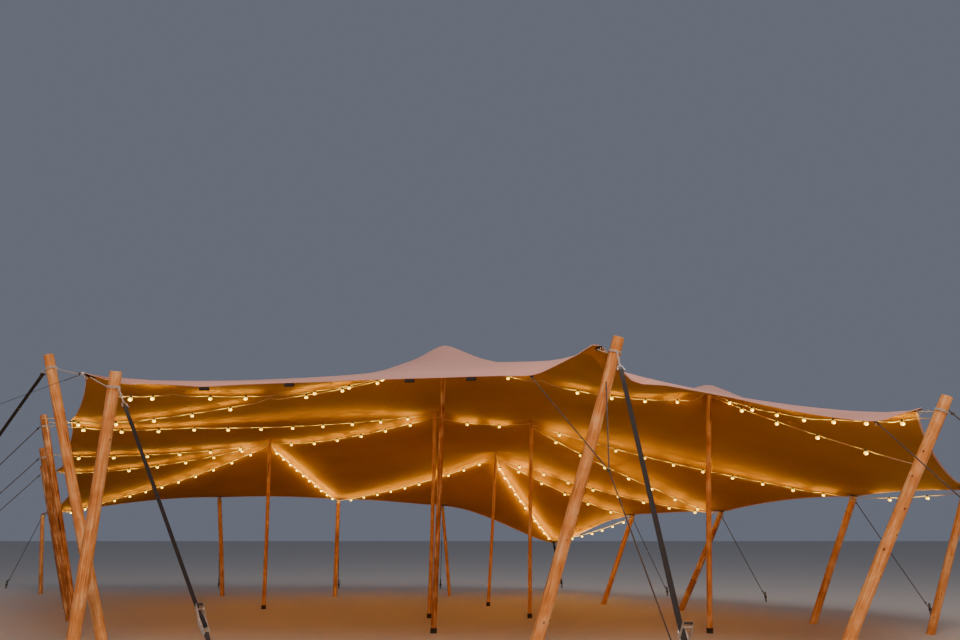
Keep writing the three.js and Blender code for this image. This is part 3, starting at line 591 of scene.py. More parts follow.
def log_parts(foot, head, across, kind, draw, step, sides, finish):
    matrix = leaning_frame(foot, head)
    length = float(np.linalg.norm(vec(*head) - vec(*foot, 0))) - (0 if kind == "out" else UNDER_CLOTH)
    radius = across / 2
    edge = radius * (0.12 if kind == "out" else 0.8)
    turn = turn_of(sides)
    out = np.stack([np.cos(turn), np.sin(turn), np.zeros(sides)], axis=1)
    stations = [(z, radius * (1 + (TAPER - 1) * z / length)) for z in np.arange(0, length - edge, step)]
    stations += [(length - edge * (1 - math.sin(a)), radius * TAPER - edge * (1 - math.cos(a)))
                 for a in np.linspace(0, math.pi / 2, 7)]
    knots, height = [], draw.uniform(0.1, 0.3)
    while height < length - 0.15:
        for k in range(draw.choice((1, 1, 2, 3))):
            knots.append((height + draw.uniform(-0.03, 0.03), draw.uniform(0, 2 * math.pi),
                          draw.uniform(0.09, 0.15) * across, draw.uniform(0.5, 1.0)))
        height += draw.uniform(0.14, 0.36)
    waves = [(draw.uniform(0, 6.3), draw.uniform(1.5, 5.0), draw.uniform(0.004, 0.012)) for k in range(4)]
    bow = [draw.uniform(-0.004, 0.004) * length for k in range(2)]
    points, marks = [], []
    for z, r in stations:
        lean = math.sin(math.pi * min(z / length, 1))
        around, raised, near = np.ones(sides), np.zeros(sides), np.zeros(sides)
        for k, (phase, slow, deep) in enumerate(waves):
            around += deep * np.cos((k + 2) * turn + phase + slow * z)
        for at, where, wide, strong in knots:
            if abs(z - at) < KNOT_REACH * wide:
                aside = (turn - where + math.pi) % (2 * math.pi) - math.pi
                gap = np.hypot(aside * r, (z - at) / 1.4) / wide
                raised += strong * 0.045 * across * np.exp(-gap ** 2 / 2)
                near = np.maximum(near, strong * np.exp(-(1.7 * gap) ** 2 / 2))
        full = min(1.0, r / (radius * TAPER))
        ring = out * (r * around + raised * full)[:, None] + vec(bow[0] * lean, bow[1] * lean, z)
        points.append(stood_level(ring, z, matrix))
        marks.append(near)
    trunk = skin(points, finish, ends=(True, False))
    trunk["mark"] = np.concatenate(marks)
    rim = points[-1]
    middle = rim.mean(axis=0)
    disc = [middle + (rim - middle) * share for share in (1, 0.6, 0.2)]
    return [trunk, skin(disc, sawn_pine if kind == "out" else finish, ends=(False, True))], matrix


def shoe_part(across, matrix):
    """The moulded rubber shoe round an inner pole's foot, with two grooves."""
    radius = across / 2 + SHOE_PROUD
    groove = radius - SHOE_RIB
    profile = [(0, radius), (0.012, radius), (0.016, groove), (0.022, groove), (0.026, radius),
               (0.036, radius), (0.04, groove), (0.046, groove), (0.05, radius),
               (SHOE_HEIGHT - 0.004, radius), (SHOE_HEIGHT, radius - 0.004),
               (SHOE_HEIGHT, across / 2 - 0.004)]
    rings = [stood_level(ring, z, matrix) for ring, (z, r) in zip(level_rings(profile, 32), profile)]
    return skin(rings, black_rubber, ends=(False, False))


NEAR_POLES = ("front_left_pole", "front_left_prop", "front_right_pole", "right_front_pole")
# these poles get the darker pine as painted shade, not a different wood
SHADED_POLES = ("main_pole", "left_pole_1", "left_pole_2", "left_pole_3", "right_pole_3")
log_draw = random.Random(7)
for name, (foot, head, across, kind) in POLES.items():
    step, sides = (0.012, 56) if name in NEAR_POLES else (0.03, 28)
    finish = shaded_pine if name in SHADED_POLES else peeled_pine
    parts, matrix = log_parts(foot, head, across, kind, log_draw, step, sides, finish)
    if kind == "peak":
        parts.append(shoe_part(across, matrix))
    assemble(f"{name}_log", parts, [name], place=matrix)
print(f"{len(POLES)} logs")

# %% [markdown]
# Straps are flat polyester webbing, 50 mm wide, woven in ribs across its width. Where an end is sewn
# back on itself, rows of pale thread show. Guy ropes are braided from thin dark strands, and the turns
# of rope round the pole heads are a lighter laid rope. The ribs and strands are drawn 4 mm wide, about
# twice as wide as real ones, so that they still show from a few metres.

# %% Webbing and rope
def woven_finish(name, pale, deep, thread):
    new = Finish(name)
    flat = new.space("UV")
    ribs = new.wave(flat, 78.0, "Y", Distortion=0.6, Detail=1.0)
    weave = new.math("MULTIPLY_ADD", new.wave(flat, 39.0, "X"), 0.35, ribs)
    worn = new.math("MULTIPLY_ADD", weave, 0.22, new.noise(flat, 18.0, 5.0))
    tone = new.ramp(worn, (0.42, deep), (0.85, pale))
    row, dash = (new.math("PINGPONG", new.add("SeparateXYZ", axis, {"Vector": flat}), half)
                 for axis, half in (("X", 0.006), ("Y", 0.003)))
    stitch = new.math("MULTIPLY", new.math("LESS_THAN", row, 0.0009), new.math("LESS_THAN", dash, 0.0021))
    shown = new.math("MULTIPLY", stitch, new.mark())
    return new.done({
        "Base Color": new.mix(shown, tone, thread), "Roughness": 0.75,
        "Sheen Weight": 0.12, "Sheen Roughness": 0.4,
    }, new.math("ADD", shown, weave), 0.6, 0.0008)


def rope_finish(name, pale, deep, braided):
    new = Finish(name)
    flat = new.space("UV")
    strands = [new.wave(new.stretched(flat, (slant, 0.7, 1.0)), 90.0, "DIAGONAL", Distortion=0.4)
               for slant in ((1.0, -1.0) if braided else (1.0,))]
    lay = new.math("MAXIMUM", strands[0], strands[-1])
    fuzzy = new.math("MULTIPLY_ADD", lay, 0.6, new.noise(flat, 160.0, 4.0))
    return new.done({
        "Base Color": new.ramp(fuzzy, (0.5, deep), (1.1, pale)), "Roughness": 0.82,
        "Sheen Weight": 0.35, "Sheen Roughness": 0.5,
    }, fuzzy, 0.8, 0.0015)


black_webbing = woven_finish("black_polyester_webbing", "#1b191c", "#0e0d10", "#8d857b")
dark_rope = rope_finish("braided_dark_rope", "#3d3631", "#1d1917", True)
pale_rope = rope_finish("laid_pale_rope", "#c9c5bd", "#86817a", False)
print("finishes:", black_webbing.name, dark_rope.name, pale_rope.name)

# %% [markdown]
# The rings, shackles, ratchets and stakes are steel with a zinc coat. Zinc dulls with handling into
# patches of light and dark grey, and the coat is scratched along its high places. The stakes have been
# driven with a hammer, so they are duller and a little rusty. Both are one finish with two sets of tones.

# %% Zinc-coated steel
def zinc_finish(name, bright, dull, rust, low, high):
    new = Finish(name)
    place = new.space("Object")
    patches = new.add("TexVoronoi", "Distance", {"Vector": place, "Scale": 90.0})
    handled = new.noise(place, 25.0, 6.0)
    both = new.math("MULTIPLY_ADD", patches, 0.4, handled)
    rusty = new.ramp(new.noise(place, 60.0, 8.0), (0.62, 0.0), (0.72, 1.0))
    return new.done({
        "Base Color": new.mix(rusty, new.ramp(both, (0.4, bright), (0.85, dull)), rust),
        "Metallic": new.between(rusty, 1.0, 0.3), "Roughness": new.between(handled, low, high),
    }, both, 0.15, 0.0008)


bright_zinc = zinc_finish("bright_zinc_steel", "#e8e6e1", "#bfbdb8", "#8a6a50", 0.3, 0.5)
driven_steel = zinc_finish("driven_stake_steel", "#8f8d88", "#6b6862", "#6b4a34", 0.4, 0.7)
print("finishes:", bright_zinc.name, driven_steel.name)

# %% [markdown]
# Webbing, rope, steel bar and cable are all one section that follows a line. The section is turned as
# little as it can be from point to point, so that a strap doesn't twist. A line through a few stops is
# made smooth in the same way as the cloth.

# %% Sections along lines
def sweep(line, section, finish, across=None, closed=False):
    """A section of (sideways, upwards) points, or one section for each place, carried along a line."""
    line = np.asarray(line, dtype=float)
    if closed:
        run = np.roll(line, -1, axis=0) - np.roll(line, 1, axis=0)
    else:
        run = np.gradient(line, axis=0)
    run /= np.linalg.norm(run, axis=1, keepdims=True)
    side = np.cross(vec(0, 0, 1), run[0]) if across is None else np.asarray(across, dtype=float)
    if np.linalg.norm(side) < 0.1:
        side = vec(1, 0, 0)
    rings = []
    for k in range(len(line)):
        side = unit(side - run[k] * side.dot(run[k]))
        shape = section[k] if np.ndim(section) == 3 else section
        rings.append(line[k] + shape[:, :1] * side + shape[:, 1:] * np.cross(run[k], side))
    around = section[0] if np.ndim(section) == 3 else section
    girth = along_line(around)
    part = skin(rings, finish, closed)
    part["flat"] = np.array([(g, d) for d in along_line(line) for g in girth])
    return part


def circle(radius, sides):
    turn = turn_of(sides)
    return np.stack([radius * np.cos(turn), radius * np.sin(turn)], axis=1)


def curve_through(stops, step):
    """A smooth line through a few stops, with a point about every step."""
    stops = np.asarray(stops, dtype=float)
    ghost = np.vstack([2 * stops[0] - stops[1], stops, 2 * stops[-1] - stops[-2]])
    line = [stops[0]]
    for k in range(len(stops) - 1):
        p0, p1, p2, p3 = ghost[k:k + 4]
        count = max(1, int(np.linalg.norm(p2 - p1) / step))
        for t in np.arange(1, count + 1) / count:
            line.append(0.5 * (2 * p1 + (p2 - p0) * t + (2 * p0 - 5 * p1 + 4 * p2 - p3) * t ** 2
                               + (3 * p1 - p0 - 3 * p2 + p3) * t ** 3))
    return np.array(line)


print(f"a circle of {len(circle(1.0, 8))} points can follow any line")

# %% [markdown]
# The hem is the cloth folded over a webbing and sewn, 30 mm wide and a little thicker than the sheet.
# Wherever something holds the hem, a webbing tab is sewn under it, with a steel ring. The front hem
# also has four spare loops. All of these go with the sheet, whose cut size is printed here.

# %% Hem, tabs and rings
WEB_WIDE, WEB_THICK = 0.05, 0.0026
RING_ROD = 0.004
TAB_WIDE, TAB_LONG, TAB_INSIDE, TAB_LOWER = 0.035, 0.2, 0.06, 0.016
SPARE_LOOPS, LOOP_WIDE, LOOP_THICK = (4, 7, 11, 13), 0.11, 0.003


def ribbon(width=WEB_WIDE, thick=WEB_THICK):
    """The section of a flat webbing, rounded at its edges."""
    nose = [(math.cos(a) * thick / 2, math.sin(a) * thick / 2) for a in np.linspace(-1.2, 1.2, 4)]
    right = [(width / 2 - thick / 2 + x, y) for x, y in nose]
    return np.array(right + [(-x, -y) for x, y in right])


def hoop(centre, axis, radius, rod, sides=10, steps=28):
    """A ring of round bar about an axis."""
    one = unit(np.cross(axis, vec(0.3, 0.2, 1)))
    two = np.cross(axis, one)
    turn = turn_of(steps)[:, None]
    line = centre + radius * (np.cos(turn) * one + np.sin(turn) * two)
    return sweep(line, circle(rod, sides), bright_zinc, across=axis, closed=True)


def inside_line(place):
    """The cloth's own line from a held place of the hem inwards, and its upward directions."""
    i, j = min(HEM_HELD, key=lambda c: np.linalg.norm(vec(*HEM_HELD[c]) - place))
    step = [(k == 0) - (k == CLOTH_STEPS) for k in (i, j)]
    spots = [(i * FINER + step[0] * k, j * FINER + step[1] * k) for k in range(FINER)]
    return np.array([surface[spot] for spot in spots]), np.array([normals[spot] for spot in spots])


def under_cloth(place, inwards, lower):
    """A point under the cloth, some way inwards from a held place."""
    line, up = inside_line(vec(*place))
    run = along_line(line)
    return vec(*(np.interp(inwards, run, (line - up * lower)[:, axis]) for axis in range(3)))


def hem_tab(place):
    """Where a rope meets the cloth: a little inside the hem and just below it."""
    return under_cloth(place, TAB_INSIDE, TAB_LOWER)


def tab_parts(place):
    """A webbing that follows the cloth's underside inwards, turns round the hem and comes back."""
    line, up = inside_line(vec(*place))
    edge, inward = line[0], unit(line[1] - line[0])
    sideways = unit(np.cross(up[1], inward))
    down = -unit(np.cross(inward, sideways))
    stops = [under_cloth(place, s, 0.01) for s in (TAB_LONG, 0.14, 0.08, 0.02)]
    stops += [edge - inward * 0.012 + down * 0.012, edge + inward * 0.004 + down * 0.02]
    stops += [under_cloth(place, s, 0.018) for s in (0.06, 0.12)]
    web = sweep(curve_through(stops, 0.012), ribbon(TAB_WIDE), black_webbing, across=sideways)
    web["mark"] = np.where(web["flat"][:, 1] < TAB_LONG / 2, 1.0, 0.0)
    return [web, hoop(edge + inward * 0.02 + down * 0.036, sideways, 0.02, RING_ROD)]


def loop_part(i):
    """A short webbing loop under the front hem, at one crossing of the net."""
    top = net[i, 0] - vec(0, 0, 0.006)
    along = unit(net[i + 1, 0] - net[i - 1, 0])
    inward = unit(np.cross(vec(0, 0, 1), along))
    stops = [top + inward * s - vec(0, 0, h)
             for s, h in ((0.03, 0), (0.02, 0.025), (0, 0.04), (-0.012, 0.022), (-0.004, 0))]
    return sweep(curve_through(stops, 0.008), ribbon(LOOP_WIDE, LOOP_THICK), black_webbing, across=along)


hem_section = circle(0.007, 8) * vec(2.0, 0.7)
hem_piece = assemble("hem", [sweep(hem_line[::2], hem_section, coated_top, closed=True)])
tab_pieces = [assemble(f"hem_tab_{number}", tab_parts(place))
              for number, place in enumerate(HEM_HELD.values(), start=1)]
spare_loops = assemble("spare_hem_loops", [loop_part(i) for i in SPARE_LOOPS])

print(f"{len(tab_pieces)} tabs, and a sheet cut {CUT_WIDTH:.1f} by {CUT_LENGTH:.1f} m")

# %% [markdown]
# Every pole outside the hem, and every pole under it, is held by a strap or a rope from a collar below
# its head down to a stake. The collar is three turns of one pale laid rope. Here are the stakes, what
# each pole holds, and the points that its pieces share.

# %% Where straps and ropes run
RING_CENTRE = (-3.822, -3.222, 3.146)
COLLAR_BELOW, EDGE_COLLAR_BELOW, COLLAR_THICK = 0.17, 0.085, 0.009
STAKE_ACROSS, TIE_HEIGHT = 0.032, 0.09
GUYS = {
    "front_left_strap": ("front_left_pole", RING_CENTRE, (-1.45, -4.4)),
    "front_left_prop_strap": ("front_left_prop", RING_CENTRE, (-6.4, -2.5)),
    "front_right_strap": ("front_right_pole", HEM_HELD[18, 0], (2.27, -5.4)),
    "right_front_guy": ("right_front_pole", HEM_HELD[28, 0], (7.2, -4.9)),
    "left_guy_1": ("left_pole_1", HEM_HELD[0, 7], (-7.3, -2.0)),
    "left_guy_2": ("left_pole_2", HEM_HELD[0, 12], (-8.4, -0.1)),
    "left_guy_3": ("left_pole_3", HEM_HELD[0, 17], (-9.5, 1.9)),
    "back_left_guy": ("back_left_pole", None, (-11.0, 7.4)),
    "back_guy_1": ("back_pole_1", None, (-5.8, 7.5)),
    "back_guy_2": ("back_pole_2", None, (-2.8, 7.35)),
    "back_guy_3": ("back_pole_3", None, (-0.3, 7.35)),
    "right_guy_4": ("right_pole_4", None, (4.8, 5.5)),
    "right_guy_3": ("right_pole_3", None, (6.5, 4.3)),
    "right_guy_2": ("right_pole_2", None, (8.5, 2.1)),
    "right_guy_1": ("right_pole_1", None, (9.35, -0.8)),
}
FLAT_ONES = ("front_left_strap", "front_left_prop_strap", "front_right_strap")


def hitch_of(pole_name):
    """The middle of a pole's collar, the pole's direction and its thickness there."""
    foot, head, across, kind = POLES[pole_name]
    run = unit(vec(*head) - vec(*foot, 0))
    return vec(*head) - run * (EDGE_COLLAR_BELOW if kind == "edge" else COLLAR_BELOW), run, across


def collar_edge(pole_name, towards):
    """Where a strap leaves the collar on its way to another place."""
    hitch, run, across = hitch_of(pole_name)
    level = (vec(*towards) - hitch) * vec(1, 1, 0)
    return hitch + unit(level) * (across / 2 + COLLAR_THICK / 2)


def pull_frame(start, end):
    """Down the strap, across its width, and out of its upper face."""
    down = unit(end - start)
    across = unit(np.cross(vec(0, 0, 1), down))
    out = np.cross(down, across)
    if out[2] < 0:
        across, out = -across, -out
    return down, across, out


print(f"{len(GUYS)} straps and guy ropes")

# %% [markdown]
# A stake is a round steel bar with a welded collar and a head that hammering has spread. It is turned
# from a short profile. A collar is the rope's own path round a leaning pole, a helix of three turns.

# %% Stakes and collars
STAKE_PROFILE = [(0, 1.0), (0.118, 1.0), (0.12, 1.16), (0.127, 1.16), (0.129, 1.0), (0.168, 1.0),
                 (0.173, 1.18), (0.18, 1.24), (0.186, 1.2), (0.19, 1.0), (0.1905, 0.5), (0.1905, 0.02)]
TURNS, TURN_ROPE = 3, 0.0045


def stake_piece(name, place):
    """A stake at a place on the ground, standing for its node."""
    profile = [(z, STAKE_ACROSS / 2 * share) for z, share in STAKE_PROFILE]
    rings = [ring + vec(*place, 0) for ring in level_rings(profile, 24)]
    assemble(f"{name}_stake", [skin(rings, driven_steel)], [name])


def rope_turns(centre, axes, radius, rope, finish, steps, wobble=0.0):
    """Turns of rope about an axis, side by side."""
    side, other, run = axes
    line = []
    for k in range(TURNS * steps + 1):
        a = 2 * math.pi * k / steps
        rise = (k / (TURNS * steps) - 0.5) * rope * TURNS
        reach = radius + rope / 2 + wobble * math.sin(3 * a)
        line.append(centre + run * rise + reach * (math.cos(a) * side + math.sin(a) * other))
    return sweep(line, circle(rope / 2, 8), finish, across=run)


def collar_part(pole_name):
    """Laid rope round a pole, below its head."""
    hitch, run, across = hitch_of(pole_name)
    axes = leaning_frame(*POLES[pole_name][:2])[:3, :3].T
    return rope_turns(hitch, axes, across / 2 * 0.93, 2 * TURN_ROPE, pale_rope, 20, 0.0004)


for name, (pole_name, tip, stake) in GUYS.items():
    stake_piece(name, stake)
    assemble(f"{name}_collar", [collar_part(pole_name)], [name])
print(f"{len(GUYS)} stakes and collars")

# %% [markdown]
# Ropes are pulled straight, so each is a round section along a line that sags by a few millimetres.
# Its end goes round the stake in three turns, and a knot is one rope that winds through itself.
# Between a collar and the cloth, a doubled pale rope goes to the ring of the tab.

# %% Guy ropes
ROPE_ACROSS, TIED_ROPE = 0.014, 0.012


def turns_round_stake(place):
    """A dark rope's end wound round a stake."""
    return rope_turns(vec(*place, TIE_HEIGHT), np.eye(3), STAKE_ACROSS / 2, TIED_ROPE, dark_rope, 16)


def knot_part(centre, size, rope, finish, axis):
    """A rope's own path through an overhand knot, drawn tight."""
    one = unit(np.cross(axis, vec(0.2, 0.3, 1)))
    two = np.cross(axis, one)
    line = []
    for t in turn_of(48):
        x = math.sin(t) + 2 * math.sin(2 * t)
        y = math.cos(t) - 2 * math.cos(2 * t)
        line.append(centre + size / 3 * (x * one + y * two - 1.3 * math.sin(3 * t) * axis))
    return sweep(line, circle(rope / 2, 8), finish, across=axis, closed=True)


def slack_line(start, end, sag, count=24):
    share = np.linspace(0, 1, count)[:, None]
    return start + (end - start) * share - vec(0, 0, 1) * sag * 4 * share * (1 - share)


def dark_line(start, end, sag):
    return sweep(slack_line(start, end, sag), circle(ROPE_ACROSS / 2, 10), dark_rope)


def tip_parts(pole_name, tip):
    """The doubled rope from a pole's collar to the cloth, with its knot."""
    start, end = collar_edge(pole_name, tip), hem_tab(tip)
    down, across, out = pull_frame(start, end)
    parts = [sweep(slack_line(start + across * s, end + across * s * 0.6, 0.004, 10),
                   circle(TURN_ROPE, 8), pale_rope) for s in (-0.0047, 0.0047)]
    return parts + [knot_part(start + down * 0.05, 0.011, 0.008, pale_rope, down)]


for name, (pole_name, tip, stake) in GUYS.items():
    if name in FLAT_ONES:
        continue
    tie = vec(*stake, TIE_HEIGHT)
    start = collar_edge(pole_name, tie)
    down, across, out = pull_frame(start, tie)
    parts = tip_parts(pole_name, tip) if tip else []
    parts.append(dark_line(start, tie - down * 0.012, 0.01))
    for centre in (start + down * 0.045, tie - down * 0.16):
        parts.append(knot_part(centre, 0.014, 0.011, dark_rope, down))
    parts.append(turns_round_stake(stake))
    assemble(f"{name}_rope", parts, [name])
print("guy ropes drawn")

# %% [markdown]
# A strap is a flat section along a straight line. Each end is folded back round a pin and sewn to
# itself, and the stitching shows where the mesh is marked. The pin belongs to a bow shackle.

# %% Sewn straps and shackles
PIN_ACROSS, SEWN = 0.012, 0.16
SHACKLE_GAP, SHACKLE_ROD = 0.006, 0.005


def eye_round_pin():
    """A strap's end, folded back round a pin and sewn: places along the strap and out of its face."""
    radius = PIN_ACROSS / 2 + WEB_THICK / 2
    bend = [(-radius * math.sin(a), -radius * math.cos(a)) for a in np.linspace(0.3, math.pi - 0.3, 6)]
    return [(SEWN, -0.0045), (0.05, -0.0047), *bend, (0.05, -0.0012)]


def web_part(local, start, pull, far=math.inf):
    """A strap through such places. Its first end is sewn, and so is all that lies beyond the far one."""
    down, across, out = pull
    line = np.array([start + down * s + out * h for s, h in local])
    part = sweep(line, ribbon(), black_webbing, across=across)
    run = (part["points"] - start) @ down
    part["mark"] = np.where((run < SEWN) | (run > far), 1.0, 0.0)
    return part


def strap_part(start, end):
    """A strap from pin to pin, with an eye at both ends."""
    length = np.linalg.norm(end - start)
    middle = [(s, 0.0) for s in np.linspace(SEWN + 0.05, length - SEWN - 0.05, 8)]
    far_eye = [(length - s, h) for s, h in eye_round_pin()[::-1]]
    return web_part(eye_round_pin() + middle + far_eye, start, pull_frame(start, end), length - SEWN)


def shackle_parts(at, down, across, bow=0.045):
    """A bow shackle: the pin lies across a strap, and the bow reaches back towards the collar."""
    inner = WEB_WIDE / 2 + SHACKLE_GAP
    half = [(1, 0), (1.05, 0.5), (0.75, 0.9)]
    path = half + [(0, 1.1)] + [(-wide, back) for wide, back in half[::-1]]
    stops = [at + across * inner * wide - down * bow * back for wide, back in path]
    bow_part = sweep(curve_through(stops, 0.006), circle(SHACKLE_ROD, 10), bright_zinc,
                     across=np.cross(across, down))
    grip = inner + 0.012
    widths = [(-grip, 0.009), (-inner + 0.004, 0.009), (-inner + 0.003, PIN_ACROSS / 2),
              (inner - 0.003, PIN_ACROSS / 2), (inner - 0.002, 0.0075), (grip, 0.0075)]
    sections = np.array([circle(r, 14) for w, r in widths])
    return [bow_part, sweep([at + across * w for w, r in widths], sections, bright_zinc, across=down)]


print("an eye is sewn over", SEWN, "m")

# %% [markdown]
# A ratchet winds a strap tight. It is pressed from plates and turned from rods: a plate is an outline
# between two places along y, with its rim a little rounded, and a rod is a line of circles.

# %% Plates, wheels and rods
def plate_part(outline, faces, bevel=0.0007):
    """A zinc-coated plate in the plane of x and z, with a rounded rim, between two places along y."""
    outline, (low, high) = np.asarray(outline, dtype=float), sorted(faces)
    ahead = np.roll(outline, -1, axis=0)
    run = ahead - np.roll(outline, 1, axis=0)
    inwards = np.stack([-run[:, 1], run[:, 0]], axis=1)
    inwards /= np.linalg.norm(inwards, axis=1, keepdims=True)
    area = (outline[:, 0] * ahead[:, 1] - ahead[:, 0] * outline[:, 1]).sum()
    inwards *= math.copysign(1, area)
    rings = []
    for y, inset in ((low, bevel), (low + bevel, 0), (high - bevel, 0), (high, bevel)):
        flat = outline + inwards * inset
        rings.append(np.stack([flat[:, 0], np.full(len(flat), y), flat[:, 1]], axis=1))
    part = skin(rings, bright_zinc)
    part["flat"] = part["points"][:, [0, 2]]
    return part


def rounded_bar(x0, x1, half, steps=10):
    """The outline of a flat bar with round ends."""
    turn = np.linspace(-math.pi / 2, math.pi / 2, steps)
    right = [(x1 - half + half * math.cos(a), half * math.sin(a)) for a in turn]
    left = [(x0 + half - half * math.cos(a), -half * math.sin(a)) for a in turn]
    return right + left


def gear_outline(radius, teeth):
    """A saw-toothed ratchet wheel."""
    points = []
    for k in range(teeth):
        for share, r in ((0.0, radius * 0.8), (0.75, radius), (0.85, radius)):
            a = 2 * math.pi * (k + share) / teeth
            points.append((r * math.cos(a), r * math.sin(a)))
    return points


def rod_part(ends, widths, finish, x=0.0, z=0.0, sides=20):
    """A turned rod along y: its widths are (share of the way, radius)."""
    y0, y1 = sorted(ends)
    line = [vec(x, y0 + (y1 - y0) * share, z) for share, r in widths]
    return sweep(line, np.array([circle(r, sides) for share, r in widths]), finish, across=vec(1, 0, 0))


def plain_rod(ends, radius, x=0.0, z=0.0):
    edge = min(0.001, radius * 0.2) / abs(ends[1] - ends[0])
    widths = [(0, radius * 0.9), (edge, radius), (1 - edge, radius), (1, radius * 0.9)]
    return rod_part(ends, widths, bright_zinc, x, z)


print("a bar with round ends has", len(rounded_bar(0, 1, 0.1)), "corners")

# %% [markdown]
# Two side plates hold a slotted spool, toothed wheels on the spool let it turn one way only, and a
# handle with two arms works it. Only the handle moves, so it is a piece of its own.

# %% Ratchet frame and handle
PLATE_INSIDE, PLATE_THICK, PLATE_LONG, PLATE_DEEP = 0.028, 0.004, 0.17, 0.034
ARM_INSIDE, ARM_THICK, ARM_WIDE, ARM_LONG = 0.037, 0.004, 0.024, 0.19
SPOOL_ACROSS, AXLE_ACROSS, GRIP_ACROSS = 0.024, 0.014, 0.02
WHEEL_RADIUS, WHEEL_TEETH, WHEEL_FACES = 0.024, 14, (0.0325, 0.0355)
BOLT_HEADS = (-0.068, 0.07)


def ratchet_body_parts():
    parts = []
    outline = rounded_bar(-PLATE_LONG / 2, PLATE_LONG / 2, PLATE_DEEP / 2)
    for side in (-1, 1):
        parts.append(plate_part(outline, (side * PLATE_INSIDE, side * (PLATE_INSIDE + PLATE_THICK))))
        wheel = [side * y for y in WHEEL_FACES]
        parts.append(plate_part(gear_outline(WHEEL_RADIUS, WHEEL_TEETH), wheel, 0.0004))
        heads = (side * (PLATE_INSIDE + PLATE_THICK), side * WHEEL_FACES[1])
        parts += [plain_rod(heads, 0.008, x) for x in BOLT_HEADS]
    parts.append(plain_rod((-0.029, 0.029), SPOOL_ACROSS / 2))
    parts.append(plain_rod((-0.041, 0.041), AXLE_ACROSS / 2))
    parts.append(plain_rod((-0.031, 0.031), 0.005, BOLT_HEADS[1]))
    parts.append(plain_rod((-0.031, 0.031), 0.005, BOLT_HEADS[0], -0.006))
    # the pawl, a flat bar that drops between the teeth
    pawl = [(-0.05, -0.014), (-0.02, -0.015), (-0.014, -0.02), (-0.02, -0.024), (-0.05, -0.021)]
    return parts + [plate_part(pawl, (-0.034, 0.034), 0.0005)]


def handle_parts():
    parts = []
    outline = rounded_bar(-ARM_LONG - ARM_WIDE / 2, ARM_WIDE / 2, ARM_WIDE / 2)
    rib = rounded_bar(-0.165, -0.03, 0.005, 6)
    ends = ARM_INSIDE + ARM_THICK
    for side in (-1, 1):
        parts.append(plate_part(outline, (side * ARM_INSIDE, side * ends)))
        parts.append(plate_part(rib, (side * ends, side * (ends + 0.0012)), 0.0005))
    ribs = [(0, 0.009), (0.02, GRIP_ACROSS / 2)]
    for k in range(12):
        ribs += [(start + 0.07 * k, r) for start, r in
                 ((0.08, GRIP_ACROSS / 2), (0.1, 0.0088), (0.12, 0.0088), (0.14, GRIP_ACROSS / 2))]
    ribs += [(0.98, GRIP_ACROSS / 2), (1, 0.009)]
    parts.append(rod_part((-ends, ends), ribs, black_rubber, -ARM_LONG))
    # the bar that a thumb pulls to free the teeth
    pull = rounded_bar(-0.158, -0.138, 0.004, 5)
    return parts + [plate_part(pull, (-ARM_INSIDE - 0.001, ARM_INSIDE + 0.001), 0.0005)]


print(len(ratchet_body_parts()), "parts in a frame and", len(handle_parts()), "in a handle")

# %% [markdown]
# The three front straps hang in a loop of rope and a shackle. In two of them the upper strap winds on
# to a ratchet's spool and the lower one is sewn round its bolt. Each handle rests at its own angle.

# %% Front straps
RATCHETS = {
    "front_left_strap": ("front_left_ratchet_handle", "front_left_ratchet", 10),
    "front_right_strap": ("front_right_ratchet_handle", "front_right_ratchet", 70),
}
SPOOL_HEIGHT = 0.64
WOUND_TURNS, WOUND_RADII = 2.5, (0.0205, 0.0135)
SLING_LONG, PROP_SLING_LONG = 0.27, 0.07


def wound_strap(start, spool, pull):
    """The upper strap: sewn round the shackle's pin, then down to the spool and wound on to it."""
    length = (spool - start) @ pull[0]
    local = eye_round_pin() + [(s, 0.0) for s in np.linspace(0.2, length - 0.18, 8)]
    for share in np.linspace(0, 1, 56):
        a = math.pi / 2 - share * WOUND_TURNS * 2 * math.pi
        r = WOUND_RADII[0] + (WOUND_RADII[1] - WOUND_RADII[0]) * share
        local.append((length + r * math.cos(a), r * math.sin(a)))
    return web_part(local, start, pull)


def sling_parts(start, end, pull):
    """A loop of pale rope, doubled and loosely twisted, between a collar and a shackle."""
    down, across, out = pull
    parts = []
    for phase in (0, math.pi):
        line = []
        for share in np.linspace(0, 1, 24):
            a = phase + 2.2 * math.pi * share
            wide = TURN_ROPE + 0.004 * math.sin(math.pi * share)
            line.append(start + (end - start) * share + wide * (
                math.cos(a) * across + math.sin(a) * np.cross(down, across)))
        parts.append(sweep(line, circle(TURN_ROPE, 8), pale_rope, across=across))
    return parts


